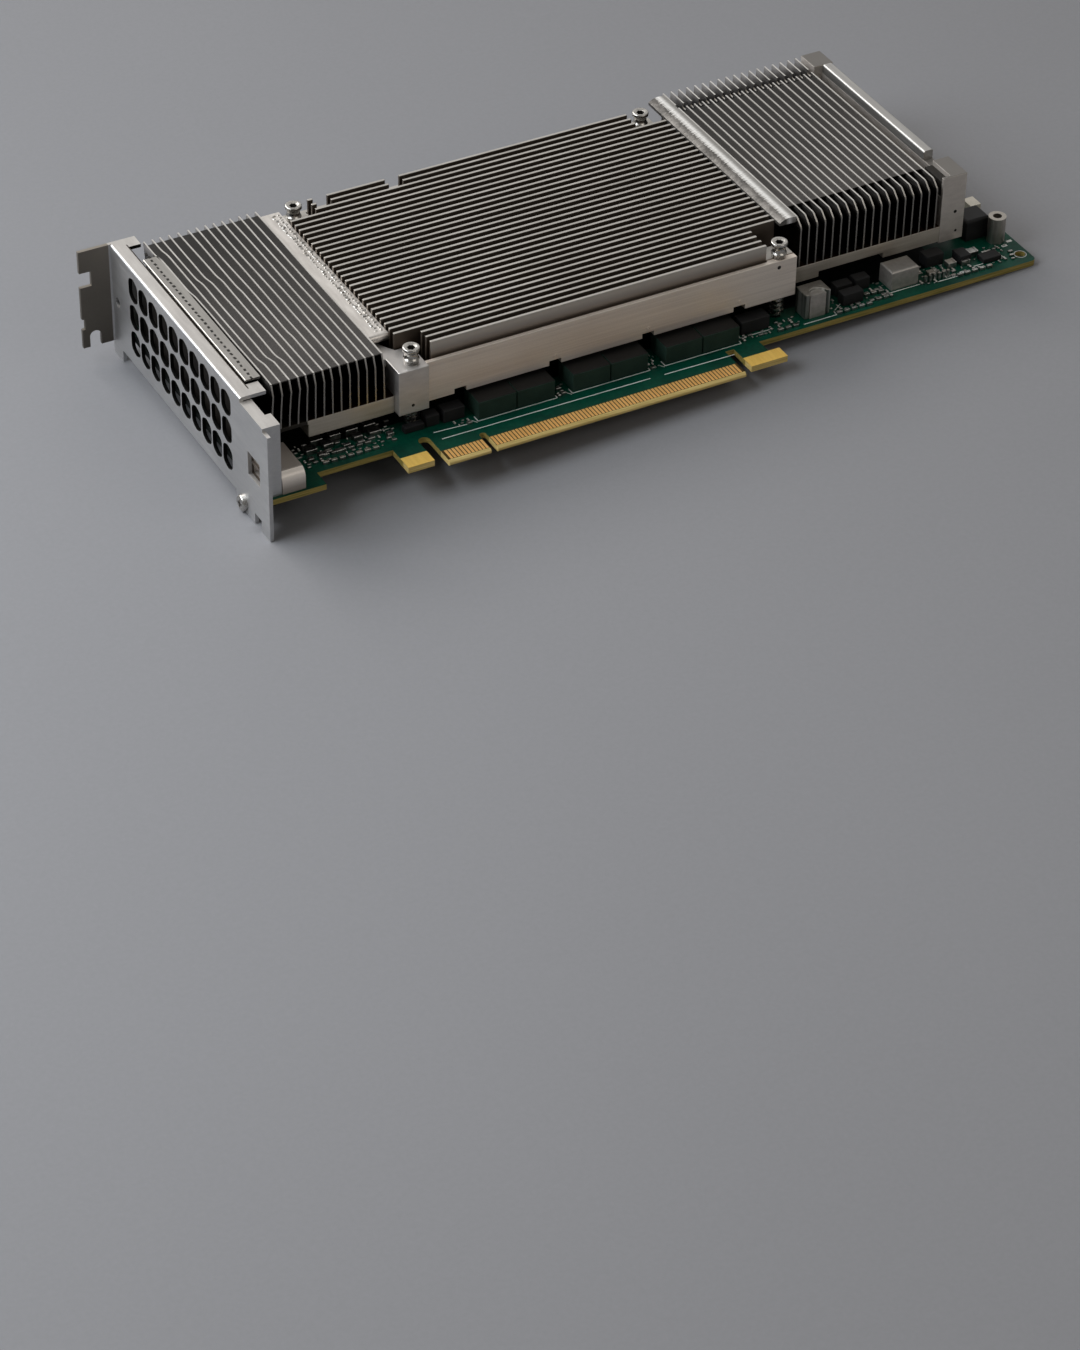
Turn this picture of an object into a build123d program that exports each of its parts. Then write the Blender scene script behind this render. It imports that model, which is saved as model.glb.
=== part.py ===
"""Passive accelerator card: a board with an edge connector, a vented bracket and a three-section heat sink.

Frame: the origin is the middle of the key slot, at the front edge of the contacts, on the board's top face.
+X runs along the board away from the bracket, +Y away from the contact edge, +Z up out of the board.
All sizes are in millimetres.
"""
import os

from build123d import *

os.makedirs("parts", exist_ok=True)

# Board and its edge connector
board_thickness = 1.6
key_to_bracket = 60.3  # middle of the key slot to the bracket's outer face
board_reach = 229.0  # bracket's outer face to the far end of the board
board_front = 10.8  # contact edge to the main front edge
board_depth = 87.2  # main front edge to the back edge
board_corner = 1.6
lug_length = 15.4  # lug beside the bracket
lug_drop = 5.4  # how far the lug stands forward of the main edge
key_width = 1.9
key_depth = 6.4
contact_pitch = 1.0
contact_width = 0.7
contact_front = 0.9
contact_length = 3.9
key_to_contact = 1.5  # middle of the key slot to the nearest contact
contact_margin = 1.1  # last contact to the end of the tongue
short_count = 11
long_count = 71
plating = 0.06
edge_bevel = 0.5
tab_gap = 3.1  # round-ended slot between the plain tab and the contacts
tab_width = 7.3
tab_front = 2.2
plated_length = 4.5
hook_gap = 2.6
hook_stem = 7.6
hook_toe = 3.2
hook_front = 1.8
hook_thick = 4.3
end_hole_radius = 1.4
end_hole_inset = 2.5  # from the far end
end_hole_margin = 4.4  # from the front and back edges

# Bracket
sheet = 1.0
bracket_top = 22.2
bracket_foot = 11.0  # below the board's top face
vent_edge = 7.4  # lower edge of the vented part, below the board's top face
bracket_front = 3.6  # front edge, from the contact edge
main_top_start = 19.3  # where the tall part of the bracket begins
low_top_drop = 1.2  # the front part is this much lower
tongue_end = 23.3
tongue_slope = 2.0
heel_length = 5.8
toe_width = 4.8
toe_notch = 3.9
toe_notch_depth = 3.3
screw_tab_width = 8.9
screw_tab_low = 7.0
screw_slot_width = 3.2
screw_slot_depth = 4.6
screw_slot_inset = 5.4  # from the bracket's outer face
tab_notch_height = 4.4
tab_notch_depth = 3.2
tab_notch_low = 11.4
small_notch_height = 3.2
small_notch_depth = 0.8
small_notch_low = -1.4
flange_width = 3.9
flange_ear = 7.2
front_ear_length = 4.6
back_ear_length = 4.2
low_flange_width = 3.2
low_ear = 4.8
low_ear_length = 5.2
return_inset = 2.8  # return wall behind the front edge
vent_columns = 10
vent_rows = 3
vent_pitch_y = 6.2
vent_pitch_z = 8.1
vent_width = 5.55
vent_height = 7.5
vent_shoulder = 1.2  # how far the pointed ends rise over the straight sides
vent_round = 1.9
vent_center_y = 55.3
vent_center_z = 7.9
window_y = 8.6
window_z = 2.2
window_size = 6.8
face_hole_radius = 1.4
face_hole_y = 93.8
face_hole_z = 6.3
bend = 0.7

# Bracket screw and its threaded block
clamp_y = 18.7
clamp_z = -8.6
clamp_radius = 1.25
clamp_head = 2.2
clamp_head_height = 1.2
clamp_length = 6.0
block_length = 7.0
block_half = 2.2
clearance = 0.1

# Port behind the bracket's window
port_front = 6.2
port_depth = 12.8
port_height = 5.8
port_length = 10.2
port_wall = 0.8
port_round = 2.4
port_back = 1.6
port_tongue = 0.6

# Heat sink, centre section
sink_gap = 6.3  # board's top face to the underside of the base
sink_start = 46.0  # from the bracket's outer face
sink_end = 157.6
sink_front = 17.6
sink_back_inset = 2.4  # from the board's back edge
base_plate = 3.2
wall_top = 17.9
wall_thickness = 1.2
center_top = 22.3
center_pitch = 2.44
center_fin = 0.8
first_center_fin = 2.4  # front wall's face to the middle of the first fin
front_left_pocket = 8.8  # pocket depths, from the front wall's face
front_right_pocket = 11.2
back_pocket = 8.6
left_pocket = 6.5
right_pocket = 8.2
boss_size = 7.4
gap_1 = 9.6  # gaps in the rear fins, from the section's left end
gap_2 = 30.6
gap_width = 4.2
gap_depth = 5.4
wall_notch = 3.4  # notches under the front wall, between the power modules
wall_notch_height = 1.4
wall_notch_depth = 2.0
pedestal = 40.0
pedestal_gap = 2.5  # board's top face to the pedestal's face
die_offset_x = 58.0  # from the section's left end
die_offset_y = 38.5  # from the front wall's face

# Heat sink, left section
left_front = 18.9
left_back_inset = 4.7
left_first = 8.4  # first fin, from the bracket's outer face
left_last = 39.2
left_count = 14
left_top = 22.9
left_fin = 0.45
left_base_top = 9.9
left_base_thin = 1.2
left_base_thick = 5.0
left_base_start = 9.4
left_thick_start = 18.2
fin_round = 3.2
lip_start = 4.1
lip_front = 24.6
lip_back_inset = 12.5
lip_thick = 0.6
cover_front = 30.8
cover_thick = 0.5
cover_drop = 1.9
cover_curl = 1.2

# Corner block that carries the front left screw
corner_start = 42.0
corner_width = 8.4
corner_front = 16.4
corner_low = 5.1
corner_top = 17.9
corner_plate = 2.0
corner_plate_back = 33.5
corner_plate_width = 2.6

# Heat sink, right section
right_front = 24.6
right_back_inset = 1.0
right_first = 162.9
right_pitch = 2.46
right_count = 18
right_top = 23.2
right_fin = 0.5
right_base_top = 9.0
right_base_low = 4.2
right_channel_start = 169.2
right_channel_width = 19.8
right_channel_depth = 1.6
groove_inset = 8.4
groove_width = 1.5
groove_depth = 1.4
ridge_front = 26.8
ridge_back_inset = 2.4
ridge_low = 21.8
ridge_top = 23.6
frame_start = 206.5
frame_width = 7.4
frame_block = 9.4
frame_low = 3.7
frame_top = 23.6
frame_wall = 5.7
frame_wall_top = 21.0
frame_back_block = 7.0
frame_back_width = 6.0
frame_slot = 2.5
frame_slot_length = 8.5
frame_slot_depth = 6.0
rail_gap = 4.8  # between the front block and the rail
rail_inset = 2.8  # gap between the last fin's side of the frame and its wall
rail_height = 2.6
rail_round = 0.6

# Spring screws, springs and nuts
screw_left_x = 47.1  # from the bracket's outer face
screw_right_x = 153.3
screw_front_y = 19.8
screw_back_left_x = 49.8
screw_back_inset = 3.1  # from the back of the centre section
shank_radius = 1.2
shank_clearance = 0.15
head_radius = 2.65
head_height = 1.1
head_round = 0.4
barrel_radius = 1.8
barrel_height = 2.1
collar_radius = 2.45
collar_height = 0.5
foot_radius = 1.95
foot_height = 1.0
socket_radius = 1.4
socket_depth = 1.6
spring_radius = 1.75
spring_wire = 0.55
spring_turns = 4
nut_radius = 2.4
nut_height = 1.8

# Parts on the board
module_length = 21.8
module_depth = 8.0
module_height = 5.2
module_front = 12.7
module_first = 62.4
module_pitch = 27.0
module_seam = 0.25
module_count = 3
package_size = 42.0
package_thick = 1.5
die_length = 26.0
die_width = 22.0
die_thick = 0.8
stack_length = 9.5
stack_width = 7.0
stack_gap = 1.0
coil_x = 158.8  # notched inductor, from the bracket's outer face
coil_front = 14.0
coil_length = 7.5
coil_depth = 5.2
coil_height = 7.4
coil_notch = 2.5
choke_inset = 42.8  # plain metal inductor, from the board's far end
choke_front = 15.5
choke_length = 8.3
choke_depth = 6.0
choke_height = 5.5
choke_round = 0.5
cube_inset = 12.4  # black block, from the board's far end
cube_front = 26.6
cube_length = 7.4
cube_depth = 6.8
cube_height = 6.3
post_inset = 4.6
post_y = 23.9
post_radius = 2.4
post_height = 7.6
post_bore = 1.2
post_bore_depth = 4.0
socket_x_inset = 3.2  # small connector on the far end
socket_y = 38.2
socket_length = 3.2
socket_width = 4.2
socket_height = 2.2
socket_wall = 0.7
pin_inset = 32.6  # first pin, from the board's far end
pin_y = 14.8
pin_pitch = 1.4
pin_count = 6
pin_size = 0.7
pin_height = 2.0
capacitor_length = 1.6
capacitor_width = 0.8
capacitor_height = 0.8
capacitor_pitch = 2.3
# Black chips: distance from the bracket's face, front edge, length, depth, height
chips = [
    (43.0, 15.4, 5.6, 2.0, 1.8),
    (49.2, 15.6, 3.7, 3.0, 3.1),
    (53.8, 15.2, 6.0, 3.6, 3.6),
    (140.3, 15.2, 8.5, 4.0, 3.9),
    (171.0, 14.8, 6.2, 3.0, 3.4),
    (171.6, 19.4, 5.0, 3.0, 3.2),
    (177.6, 19.6, 4.5, 3.2, 3.4),
]
# Black chips at the far end: distance of the near side from the board's far end, then the same sizes
end_chips = [
    (28.7, 20.5, 5.4, 3.6, 3.4),
    (19.9, 17.6, 3.4, 4.2, 2.6),
    (14.0, 15.2, 5.6, 3.4, 1.4),
]
# Rows of chip capacitors: first and last one from the bracket's face, row's middle
capacitor_rows = [
    (20.0, 33.8, 13.2),
    (21.5, 33.0, 16.2),
    (150.6, 155.2, 12.6),
    (168.4, 177.6, 12.6),
    (181.0, 183.3, 13.4),
]
# The row at the far end: first and last one from the board's far end, row's middle
end_row = (22.6, 13.4, 13.4)

face_x = -key_to_bracket
board_x0 = face_x + sheet
board_x1 = face_x + board_reach
board_back = board_front + board_depth
bracket_back = board_back
bracket_low = -bracket_foot
contact_x0 = -key_to_contact - (short_count - 1) * contact_pitch - contact_margin
contact_x1 = key_to_contact + (long_count - 1) * contact_pitch + contact_margin
lug_front = board_front - lug_drop
tab_x1 = contact_x0 - tab_gap
tab_x0 = tab_x1 - tab_width
hook_x0 = contact_x1 + hook_gap
hook_x1 = hook_x0 + hook_stem

sink_x0 = face_x + sink_start
sink_x1 = face_x + sink_end
sink_back = board_back - sink_back_inset
floor_top = sink_gap + base_plate
left_back = board_back - left_back_inset
left_pitch = (left_last - left_first) / (left_count - 1)
corner_x0 = face_x + corner_start
corner_x1 = corner_x0 + corner_width
corner_back = sink_front + front_left_pocket
right_back = board_back - right_back_inset
frame_x0 = face_x + frame_start
frame_x1 = frame_x0 + frame_width
die_x = sink_x0 + die_offset_x
die_y = sink_front + die_offset_y

screw_back_y = sink_back - screw_back_inset
screw_points = [
    (face_x + screw_left_x, screw_front_y, corner_low, corner_top),
    (face_x + screw_right_x, screw_front_y, sink_gap, wall_top),
    (face_x + screw_right_x, screw_back_y, sink_gap, wall_top),
    (face_x + screw_back_left_x, screw_back_y, sink_gap, wall_top),
]
end_holes = [
    (board_x1 - end_hole_inset, board_front + end_hole_margin),
    (board_x1 - end_hole_inset, board_back - end_hole_margin),
]


def area(x0, x1, y0, y1, mode=Mode.ADD):
    """Rectangle between two corners of the sketch in hand."""
    with Locations((x0, y0)):
        Rectangle(x1 - x0, y1 - y0, align=(Align.MIN, Align.MIN), mode=mode)


def brick(x0, x1, y0, y1, z0, z1, mode=Mode.ADD):
    """Block between two corners of the part in hand."""
    with Locations((x0, y0, z0)):
        Box(x1 - x0, y1 - y0, z1 - z0, align=(Align.MIN, Align.MIN, Align.MIN), mode=mode)


def finish(builder, name):
    """Label a piece and write its file."""
    builder.part.label = name
    export_step(builder.part, f"parts/{name}.step")


# Circuit board: main field, bracket lug, plain tab, contact tongue with its key slot, retention hook
with BuildPart() as circuit_board:
    with BuildSketch(Plane.XY.offset(-board_thickness)) as outline:
        area(board_x0, board_x1, board_front, board_back)
        fillet(outline.vertices().group_by(Axis.X)[-1], radius=board_corner)
        area(board_x0, board_x0 + lug_length, lug_front, board_front)
        area(tab_x0, tab_x1, tab_front, board_front)
        area(contact_x0, contact_x1, 0, board_front)
        area(hook_x0, hook_x1, hook_front, board_front)
        area(hook_x0, hook_x1 + hook_toe, hook_front, hook_front + hook_thick)
        with Locations(((tab_x1 + contact_x0) / 2, board_front)):
            Circle(tab_gap / 2, mode=Mode.SUBTRACT)
        area(-key_width / 2, key_width / 2, 0, key_depth, mode=Mode.SUBTRACT)
        with Locations((0, key_depth)):
            Circle(key_width / 2, mode=Mode.SUBTRACT)
        with Locations(*[(x, y) for x, y, low, top in screw_points]):
            Circle(shank_radius + shank_clearance, mode=Mode.SUBTRACT)
        with Locations(*end_holes):
            Circle(end_hole_radius, mode=Mode.SUBTRACT)
    extrude(amount=board_thickness)
    front_edges = circuit_board.edges().filter_by(Axis.X).group_by(Axis.Y)[0]
    chamfer(front_edges, length=edge_bevel)
finish(circuit_board, "circuit_board")

# Contacts on both faces of the tongue
with BuildPart() as edge_contacts:
    row_y = contact_front + contact_length / 2
    short_x = -key_to_contact - (short_count - 1) * contact_pitch / 2
    long_x = key_to_contact + (long_count - 1) * contact_pitch / 2
    for level in (0, -board_thickness - plating):
        with BuildSketch(Plane.XY.offset(level)):
            with Locations((short_x, row_y)):
                with GridLocations(contact_pitch, 1, short_count, 1):
                    Rectangle(contact_width, contact_length)
            with Locations((long_x, row_y)):
                with GridLocations(contact_pitch, 1, long_count, 1):
                    Rectangle(contact_width, contact_length)
        extrude(amount=plating)
finish(edge_contacts, "edge_contacts")

# Plating on the plain tab and on the retention hook
with BuildPart() as tab_plating:
    for level in (0, -board_thickness - plating):
        with BuildSketch(Plane.XY.offset(level)):
            area(tab_x0, tab_x1, tab_front, tab_front + plated_length)
            area(hook_x0, hook_x1 + hook_toe, hook_front, hook_front + hook_thick)
        extrude(amount=plating)
finish(tab_plating, "tab_plating")

# Bracket: vented face, outward screw tab, inward top flanges and a return wall that stands on the board
low_top = bracket_top - low_top_drop
return_y = bracket_front + return_inset
with BuildPart() as bracket:
    with BuildSketch(Plane.YZ.offset(face_x)) as face_outline:
        with BuildLine():
            Polyline(
                (bracket_back, bracket_top),
                (bracket_back, bracket_low),
                (bracket_back - heel_length, bracket_low),
                (bracket_back - heel_length, -vent_edge),
                (tongue_end, -vent_edge),
                (tongue_end - tongue_slope, bracket_low),
                (bracket_front + toe_width + toe_notch, bracket_low),
                (bracket_front + toe_width + toe_notch, bracket_low + toe_notch_depth),
                (bracket_front + toe_width, bracket_low + toe_notch_depth),
                (bracket_front + toe_width, bracket_low),
                (bracket_front, bracket_low),
                (bracket_front, low_top - sheet),
                (return_y, low_top - sheet),
                (return_y, low_top),
                (main_top_start, low_top),
                (main_top_start, bracket_top),
                close=True,
            )
        make_face()
        with Locations((vent_center_y, vent_center_z)):
            with GridLocations(vent_pitch_y, vent_pitch_z, vent_columns, vent_rows):
                with BuildSketch(mode=Mode.PRIVATE) as vent:
                    side = vent_height / 2 - vent_shoulder
                    with BuildLine():
                        Polyline(
                            (0, vent_height / 2),
                            (vent_width / 2, side),
                            (vent_width / 2, -side),
                            (0, -vent_height / 2),
                            (-vent_width / 2, -side),
                            (-vent_width / 2, side),
                            close=True,
                        )
                    make_face()
                    fillet(vent.vertices(), radius=vent_round)
                add(vent.sketch, mode=Mode.SUBTRACT)
        area(window_y, window_y + window_size, window_z, window_z + window_size, mode=Mode.SUBTRACT)
        with Locations((face_hole_y, face_hole_z)):
            Circle(face_hole_radius, mode=Mode.SUBTRACT)
        with Locations((clamp_y, clamp_z)):
            Circle(clamp_radius + clearance, mode=Mode.SUBTRACT)
    extrude(amount=sheet)
    # Top flange with an ear at each end, rounded along its bend
    with BuildSketch(Plane.XY.offset(bracket_top - sheet)):
        area(face_x, face_x + flange_width, main_top_start, bracket_back)
        area(face_x, face_x + flange_ear, main_top_start, main_top_start + front_ear_length)
        area(face_x, face_x + flange_ear, bracket_back - back_ear_length, bracket_back)
    extrude(amount=sheet)
    crease = bracket.edges().filter_by(Axis.Y).group_by(Axis.X)[0].group_by(Axis.Z)[-1]
    fillet(crease, radius=bend)
    # Screw tab, bent outward at the back, with its open slot and edge notches
    tab_outer = face_x - screw_tab_width
    with BuildSketch(Plane.XZ.offset(-bracket_back)):
        notch_top = tab_notch_low + tab_notch_height
        nick_top = small_notch_low + small_notch_height
        slot_x = face_x - screw_slot_inset
        slot_half = screw_slot_width / 2
        slot_end = -screw_tab_low + screw_slot_depth - slot_half
        area(tab_outer, face_x + bend, -screw_tab_low, bracket_top)
        area(tab_outer, tab_outer + tab_notch_depth, tab_notch_low, notch_top, mode=Mode.SUBTRACT)
        area(tab_outer, tab_outer + small_notch_depth, small_notch_low, nick_top, mode=Mode.SUBTRACT)
        area(slot_x - slot_half, slot_x + slot_half, -screw_tab_low, slot_end, mode=Mode.SUBTRACT)
        with Locations((slot_x, slot_end)):
            Circle(slot_half, mode=Mode.SUBTRACT)
    extrude(amount=sheet)
    # Lower flange of the front part and the return wall below its ear
    with BuildSketch(Plane.XY.offset(low_top - sheet)):
        area(face_x, face_x + low_flange_width, return_y, main_top_start)
        area(face_x, face_x + low_ear, return_y, return_y + low_ear_length)
    extrude(amount=sheet)
    brick(face_x, face_x + low_ear, return_y, return_y + sheet, 0, low_top)
finish(bracket, "bracket")

# Threaded block under the lug, and the screw that clamps the bracket to it
with BuildPart() as bracket_block:
    brick(
        board_x0,
        board_x0 + block_length,
        clamp_y - block_half,
        clamp_y + block_half,
        clamp_z - block_half,
        -board_thickness,
    )
    with BuildSketch(Plane.YZ.offset(board_x0)):
        with Locations((clamp_y, clamp_z)):
            Circle(clamp_radius + clearance)
    extrude(amount=clamp_length, mode=Mode.SUBTRACT)
finish(bracket_block, "bracket_block")

with BuildPart() as bracket_screw:
    with BuildSketch(Plane.YZ.offset(face_x)):
        with Locations((clamp_y, clamp_z)):
            Circle(clamp_radius)
    extrude(amount=clamp_length)
    with BuildSketch(Plane.YZ.offset(face_x - clamp_head_height)):
        with Locations((clamp_y, clamp_z)):
            Circle(clamp_head)
    extrude(amount=clamp_head_height)
    fillet(bracket_screw.edges().group_by(Axis.X)[0], radius=clamp_head_height / 2)
    with BuildSketch(Plane.YZ.offset(face_x - clamp_head_height)):
        with Locations((clamp_y, clamp_z)):
            Rectangle(clamp_head, clamp_head / 4)
            Rectangle(clamp_head / 4, clamp_head)
    extrude(amount=clamp_head_height / 2, mode=Mode.SUBTRACT)
finish(bracket_screw, "bracket_screw")

# Port shell behind the window, open towards the bracket and clear of the return wall, with its insulator
port_x1 = board_x0 + port_length
port_inner_top = port_height - port_wall
with BuildPart() as port_shell:
    with BuildSketch(Plane.YZ.offset(board_x0)) as shell_outline:
        area(port_front, port_front + port_depth, 0, port_height)
        fillet(shell_outline.vertices().group_by(Axis.X)[0].sort_by(Axis.Y)[-1], radius=port_round)
        area(window_y, window_y + window_size, window_z, port_inner_top, mode=Mode.SUBTRACT)
    extrude(amount=port_length)
    brick(
        board_x0,
        face_x + low_ear + clearance,
        port_front,
        return_y + sheet + clearance,
        0,
        port_height,
        mode=Mode.SUBTRACT,
    )
finish(port_shell, "port_shell")

with BuildPart() as port_insulator:
    brick(port_x1 - port_back, port_x1, window_y, window_y + window_size, window_z, port_inner_top)
    tongue_z = port_inner_top - 2 * port_tongue
    brick(
        board_x0 + 2 * port_back,
        port_x1 - port_back,
        window_y + port_tongue,
        window_y + window_size - port_tongue,
        tongue_z,
        tongue_z + port_tongue,
    )
finish(port_insulator, "port_insulator")

# Centre section: one skived block with a deep base, a front and a back wall, long fins and corner bosses
fin_y0 = sink_front + first_center_fin
fin_count = int((sink_back - first_center_fin - fin_y0) / center_pitch + 0.5) + 1
with BuildPart() as center_sink:
    brick(sink_x0, sink_x1, sink_front, sink_back, sink_gap, floor_top)
    brick(corner_x1, sink_x1, sink_front, sink_front + wall_thickness, floor_top, wall_top)
    brick(sink_x0, sink_x1, sink_back - wall_thickness, sink_back, floor_top, wall_top)
    with BuildSketch(Plane.XY.offset(floor_top)):
        with Locations(((sink_x0 + sink_x1) / 2, fin_y0 + (fin_count - 1) * center_pitch / 2)):
            with GridLocations(1, center_pitch, 1, fin_count):
                Rectangle(sink_x1 - sink_x0, center_fin)
    extrude(amount=center_top - floor_top)
    # Pockets for the four screws, then the bosses that stand in three of them
    brick(sink_x0, corner_x1, sink_front, corner_back, sink_gap, center_top, mode=Mode.SUBTRACT)
    brick(
        corner_x1,
        sink_x0 + left_pocket,
        sink_front + wall_thickness,
        corner_back,
        floor_top,
        center_top,
        mode=Mode.SUBTRACT,
    )
    right_pocket_y = sink_front + front_right_pocket
    back_pocket_y = sink_back - back_pocket
    with BuildSketch(Plane.XY.offset(floor_top)):
        area(sink_x1 - right_pocket, sink_x1, sink_front + wall_thickness, right_pocket_y)
        area(sink_x1 - right_pocket, sink_x1, back_pocket_y, sink_back - wall_thickness)
        area(sink_x0, sink_x0 + right_pocket, back_pocket_y, sink_back - wall_thickness)
    extrude(amount=center_top - floor_top, mode=Mode.SUBTRACT)
    with BuildSketch(Plane.XY.offset(floor_top)):
        area(sink_x1 - right_pocket, sink_x1, sink_front, sink_front + boss_size)
        area(sink_x1 - right_pocket, sink_x1, sink_back - boss_size, sink_back)
        area(sink_x0, sink_x0 + right_pocket, sink_back - boss_size, sink_back)
    extrude(amount=wall_top - floor_top)
    # Gaps cut through the rear fins
    for start in (gap_1, gap_2):
        brick(
            sink_x0 + start,
            sink_x0 + start + gap_width,
            sink_back - wall_thickness - gap_depth,
            sink_back - wall_thickness,
            wall_top,
            center_top,
            mode=Mode.SUBTRACT,
        )
    # Notches under the front wall, one each side of every power module
    for index in range(module_count + 1):
        notch_x = face_x + module_first - (module_pitch - module_length) / 2 + index * module_pitch
        brick(
            notch_x - wall_notch / 2,
            notch_x + wall_notch / 2,
            sink_front,
            sink_front + wall_notch_depth,
            sink_gap,
            sink_gap + wall_notch_height,
            mode=Mode.SUBTRACT,
        )
    # Pedestal that presses on the processor
    with BuildSketch(Plane.XY.offset(pedestal_gap)):
        with Locations((die_x, die_y)):
            Rectangle(pedestal, pedestal)
    extrude(amount=sink_gap - pedestal_gap)
    with BuildSketch(Plane.XY.offset(sink_gap)):
        with Locations(*[(x, y) for x, y, low, top in screw_points[1:]]):
            Circle(shank_radius + shank_clearance)
    extrude(amount=wall_top - sink_gap, mode=Mode.SUBTRACT)
finish(center_sink, "center_sink")

# Left section: stepped base, a stack of thin fins, an edge lip and the cover strip beside the centre section
left_low = left_base_top - left_base_thick
with BuildPart() as left_base:
    with BuildSketch(Plane.XZ.offset(-left_back)):
        with BuildLine():
            Polyline(
                (face_x + left_base_start, left_base_top),
                (face_x + left_base_start, left_base_top - left_base_thin),
                (face_x + left_thick_start, left_base_top - left_base_thin),
                (face_x + left_thick_start, left_low),
                (sink_x0, left_low),
                (sink_x0, left_base_top),
                close=True,
            )
        make_face()
    extrude(amount=left_back - left_front)
    brick(corner_x0, sink_x0, left_front, corner_back, left_low, left_base_top, mode=Mode.SUBTRACT)
finish(left_base, "left_base")

with BuildPart() as left_fins:
    for index in range(left_count):
        fin_x = face_x + left_first + index * left_pitch - left_fin / 2
        with BuildSketch(Plane.YZ.offset(fin_x)) as fin_outline:
            area(left_front, left_back, left_base_top, left_top)
            corner = fin_outline.vertices().group_by(Axis.X)[0].sort_by(Axis.Y)[-1]
            fillet(corner, radius=fin_round)
        extrude(amount=left_fin)
finish(left_fins, "left_fins")

with BuildPart() as left_lip:
    lip_end = face_x + left_first - left_fin / 2
    brick(face_x + lip_start, lip_end, lip_front, board_back - lip_back_inset, left_top - lip_thick, left_top)
    fillet(left_lip.edges().filter_by(Axis.Y).group_by(Axis.X)[0].sort_by(Axis.Z)[-1], radius=lip_thick / 2)
finish(left_lip, "left_lip")

with BuildPart() as cover_strip:
    cover_x0 = face_x + left_last + left_fin / 2
    cover_z = left_top - cover_drop - cover_thick
    brick(cover_x0, sink_x0, cover_front, left_back, cover_z, cover_z + cover_thick)
    # Curled front end
    with BuildSketch(Plane.YZ.offset(cover_x0)):
        with Locations((cover_front, cover_z + cover_thick - cover_curl)):
            Circle(cover_curl)
            Circle(cover_curl - cover_thick, mode=Mode.SUBTRACT)
            Rectangle(cover_curl, 2 * cover_curl, align=(Align.MIN, Align.CENTER), mode=Mode.SUBTRACT)
    extrude(amount=sink_x0 - cover_x0)
finish(cover_strip, "cover_strip")

# Corner block: mounting ear for the front left screw, with a plate that runs back beside the last fin
with BuildPart() as corner_block:
    brick(corner_x0, corner_x1, corner_front, corner_back, corner_low, corner_top)
    with BuildSketch(Plane.XY.offset(corner_top - corner_plate)):
        with BuildLine():
            plate_x0 = face_x + left_last + left_fin
            a = (plate_x0, corner_back - corner_plate_width)
            b = (plate_x0, corner_plate_back)
            c = (plate_x0 + corner_plate_width, corner_plate_back)
            d = (sink_x0, corner_back)
            Polyline(d, (sink_x0, corner_back - corner_plate_width), a, b, c)
            TangentArc(c, d, tangent=(0.4, -1))
        make_face()
    extrude(amount=corner_plate)
    with BuildSketch(Plane.XY.offset(corner_low)):
        with Locations(screw_points[0][:2]):
            Circle(shank_radius + shank_clearance)
    extrude(amount=corner_top - corner_low, mode=Mode.SUBTRACT)
finish(corner_block, "corner_block")

# Right section: channelled base, a stack of fins with a groove near the back, a ridge strip and an end frame
with BuildPart() as right_base:
    with BuildSketch(Plane.XZ.offset(-right_back)):
        channel_x0 = face_x + right_channel_start
        area(sink_x1, frame_x0, right_base_low, right_base_top)
        area(
            channel_x0,
            channel_x0 + right_channel_width,
            right_base_low,
            right_base_low + right_channel_depth,
            mode=Mode.SUBTRACT,
        )
    extrude(amount=right_back - right_front)
finish(right_base, "right_base")

with BuildPart() as right_fins:
    for index in range(right_count):
        fin_x = face_x + right_first + index * right_pitch - right_fin / 2
        with BuildSketch(Plane.YZ.offset(fin_x)) as fin_outline:
            area(right_front, right_back, right_base_top, right_top)
            corner = fin_outline.vertices().group_by(Axis.X)[0].sort_by(Axis.Y)[-1]
            fillet(corner, radius=fin_round)
            groove_y = right_back - groove_inset
            area(groove_y, groove_y + groove_width, right_top - groove_depth, right_top, mode=Mode.SUBTRACT)
        extrude(amount=right_fin)
finish(right_fins, "right_fins")

with BuildPart() as ridge_strip:
    ridge_x1 = face_x + right_first - right_fin / 2
    with BuildSketch(Plane.XZ.offset(-(board_back - ridge_back_inset))):
        with BuildLine():
            Polyline(
                (sink_x1, ridge_low + center_fin),
                (sink_x1, ridge_low),
                (ridge_x1, ridge_low),
                (ridge_x1, right_top),
            )
            ThreePointArc(
                (ridge_x1, right_top),
                ((sink_x1 + 2 * ridge_x1) / 3, ridge_top),
                (sink_x1, ridge_low + center_fin),
            )
        make_face()
    extrude(amount=board_back - ridge_back_inset - ridge_front)
finish(ridge_strip, "ridge_strip")

with BuildPart() as end_frame:
    brick(frame_x0, frame_x1, right_front, right_front + frame_block, frame_low, frame_top)
    block_back = right_front + frame_block
    back_block = right_back - frame_back_block
    brick(frame_x0, frame_x0 + frame_wall, block_back, right_back, right_base_low, right_base_top)
    wall_x0 = frame_x0 + rail_inset
    brick(wall_x0, frame_x0 + frame_wall, block_back, right_back, right_base_top, frame_wall_top)
    brick(frame_x0, frame_x0 + frame_back_width, back_block, right_back, right_base_low, frame_top)
    slot_y = right_front + frame_block - frame_slot_length
    brick(
        frame_x0,
        frame_x0 + frame_slot,
        slot_y,
        right_front + frame_block,
        frame_top - frame_slot_depth,
        frame_top,
        mode=Mode.SUBTRACT,
    )
finish(end_frame, "end_frame")

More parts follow.
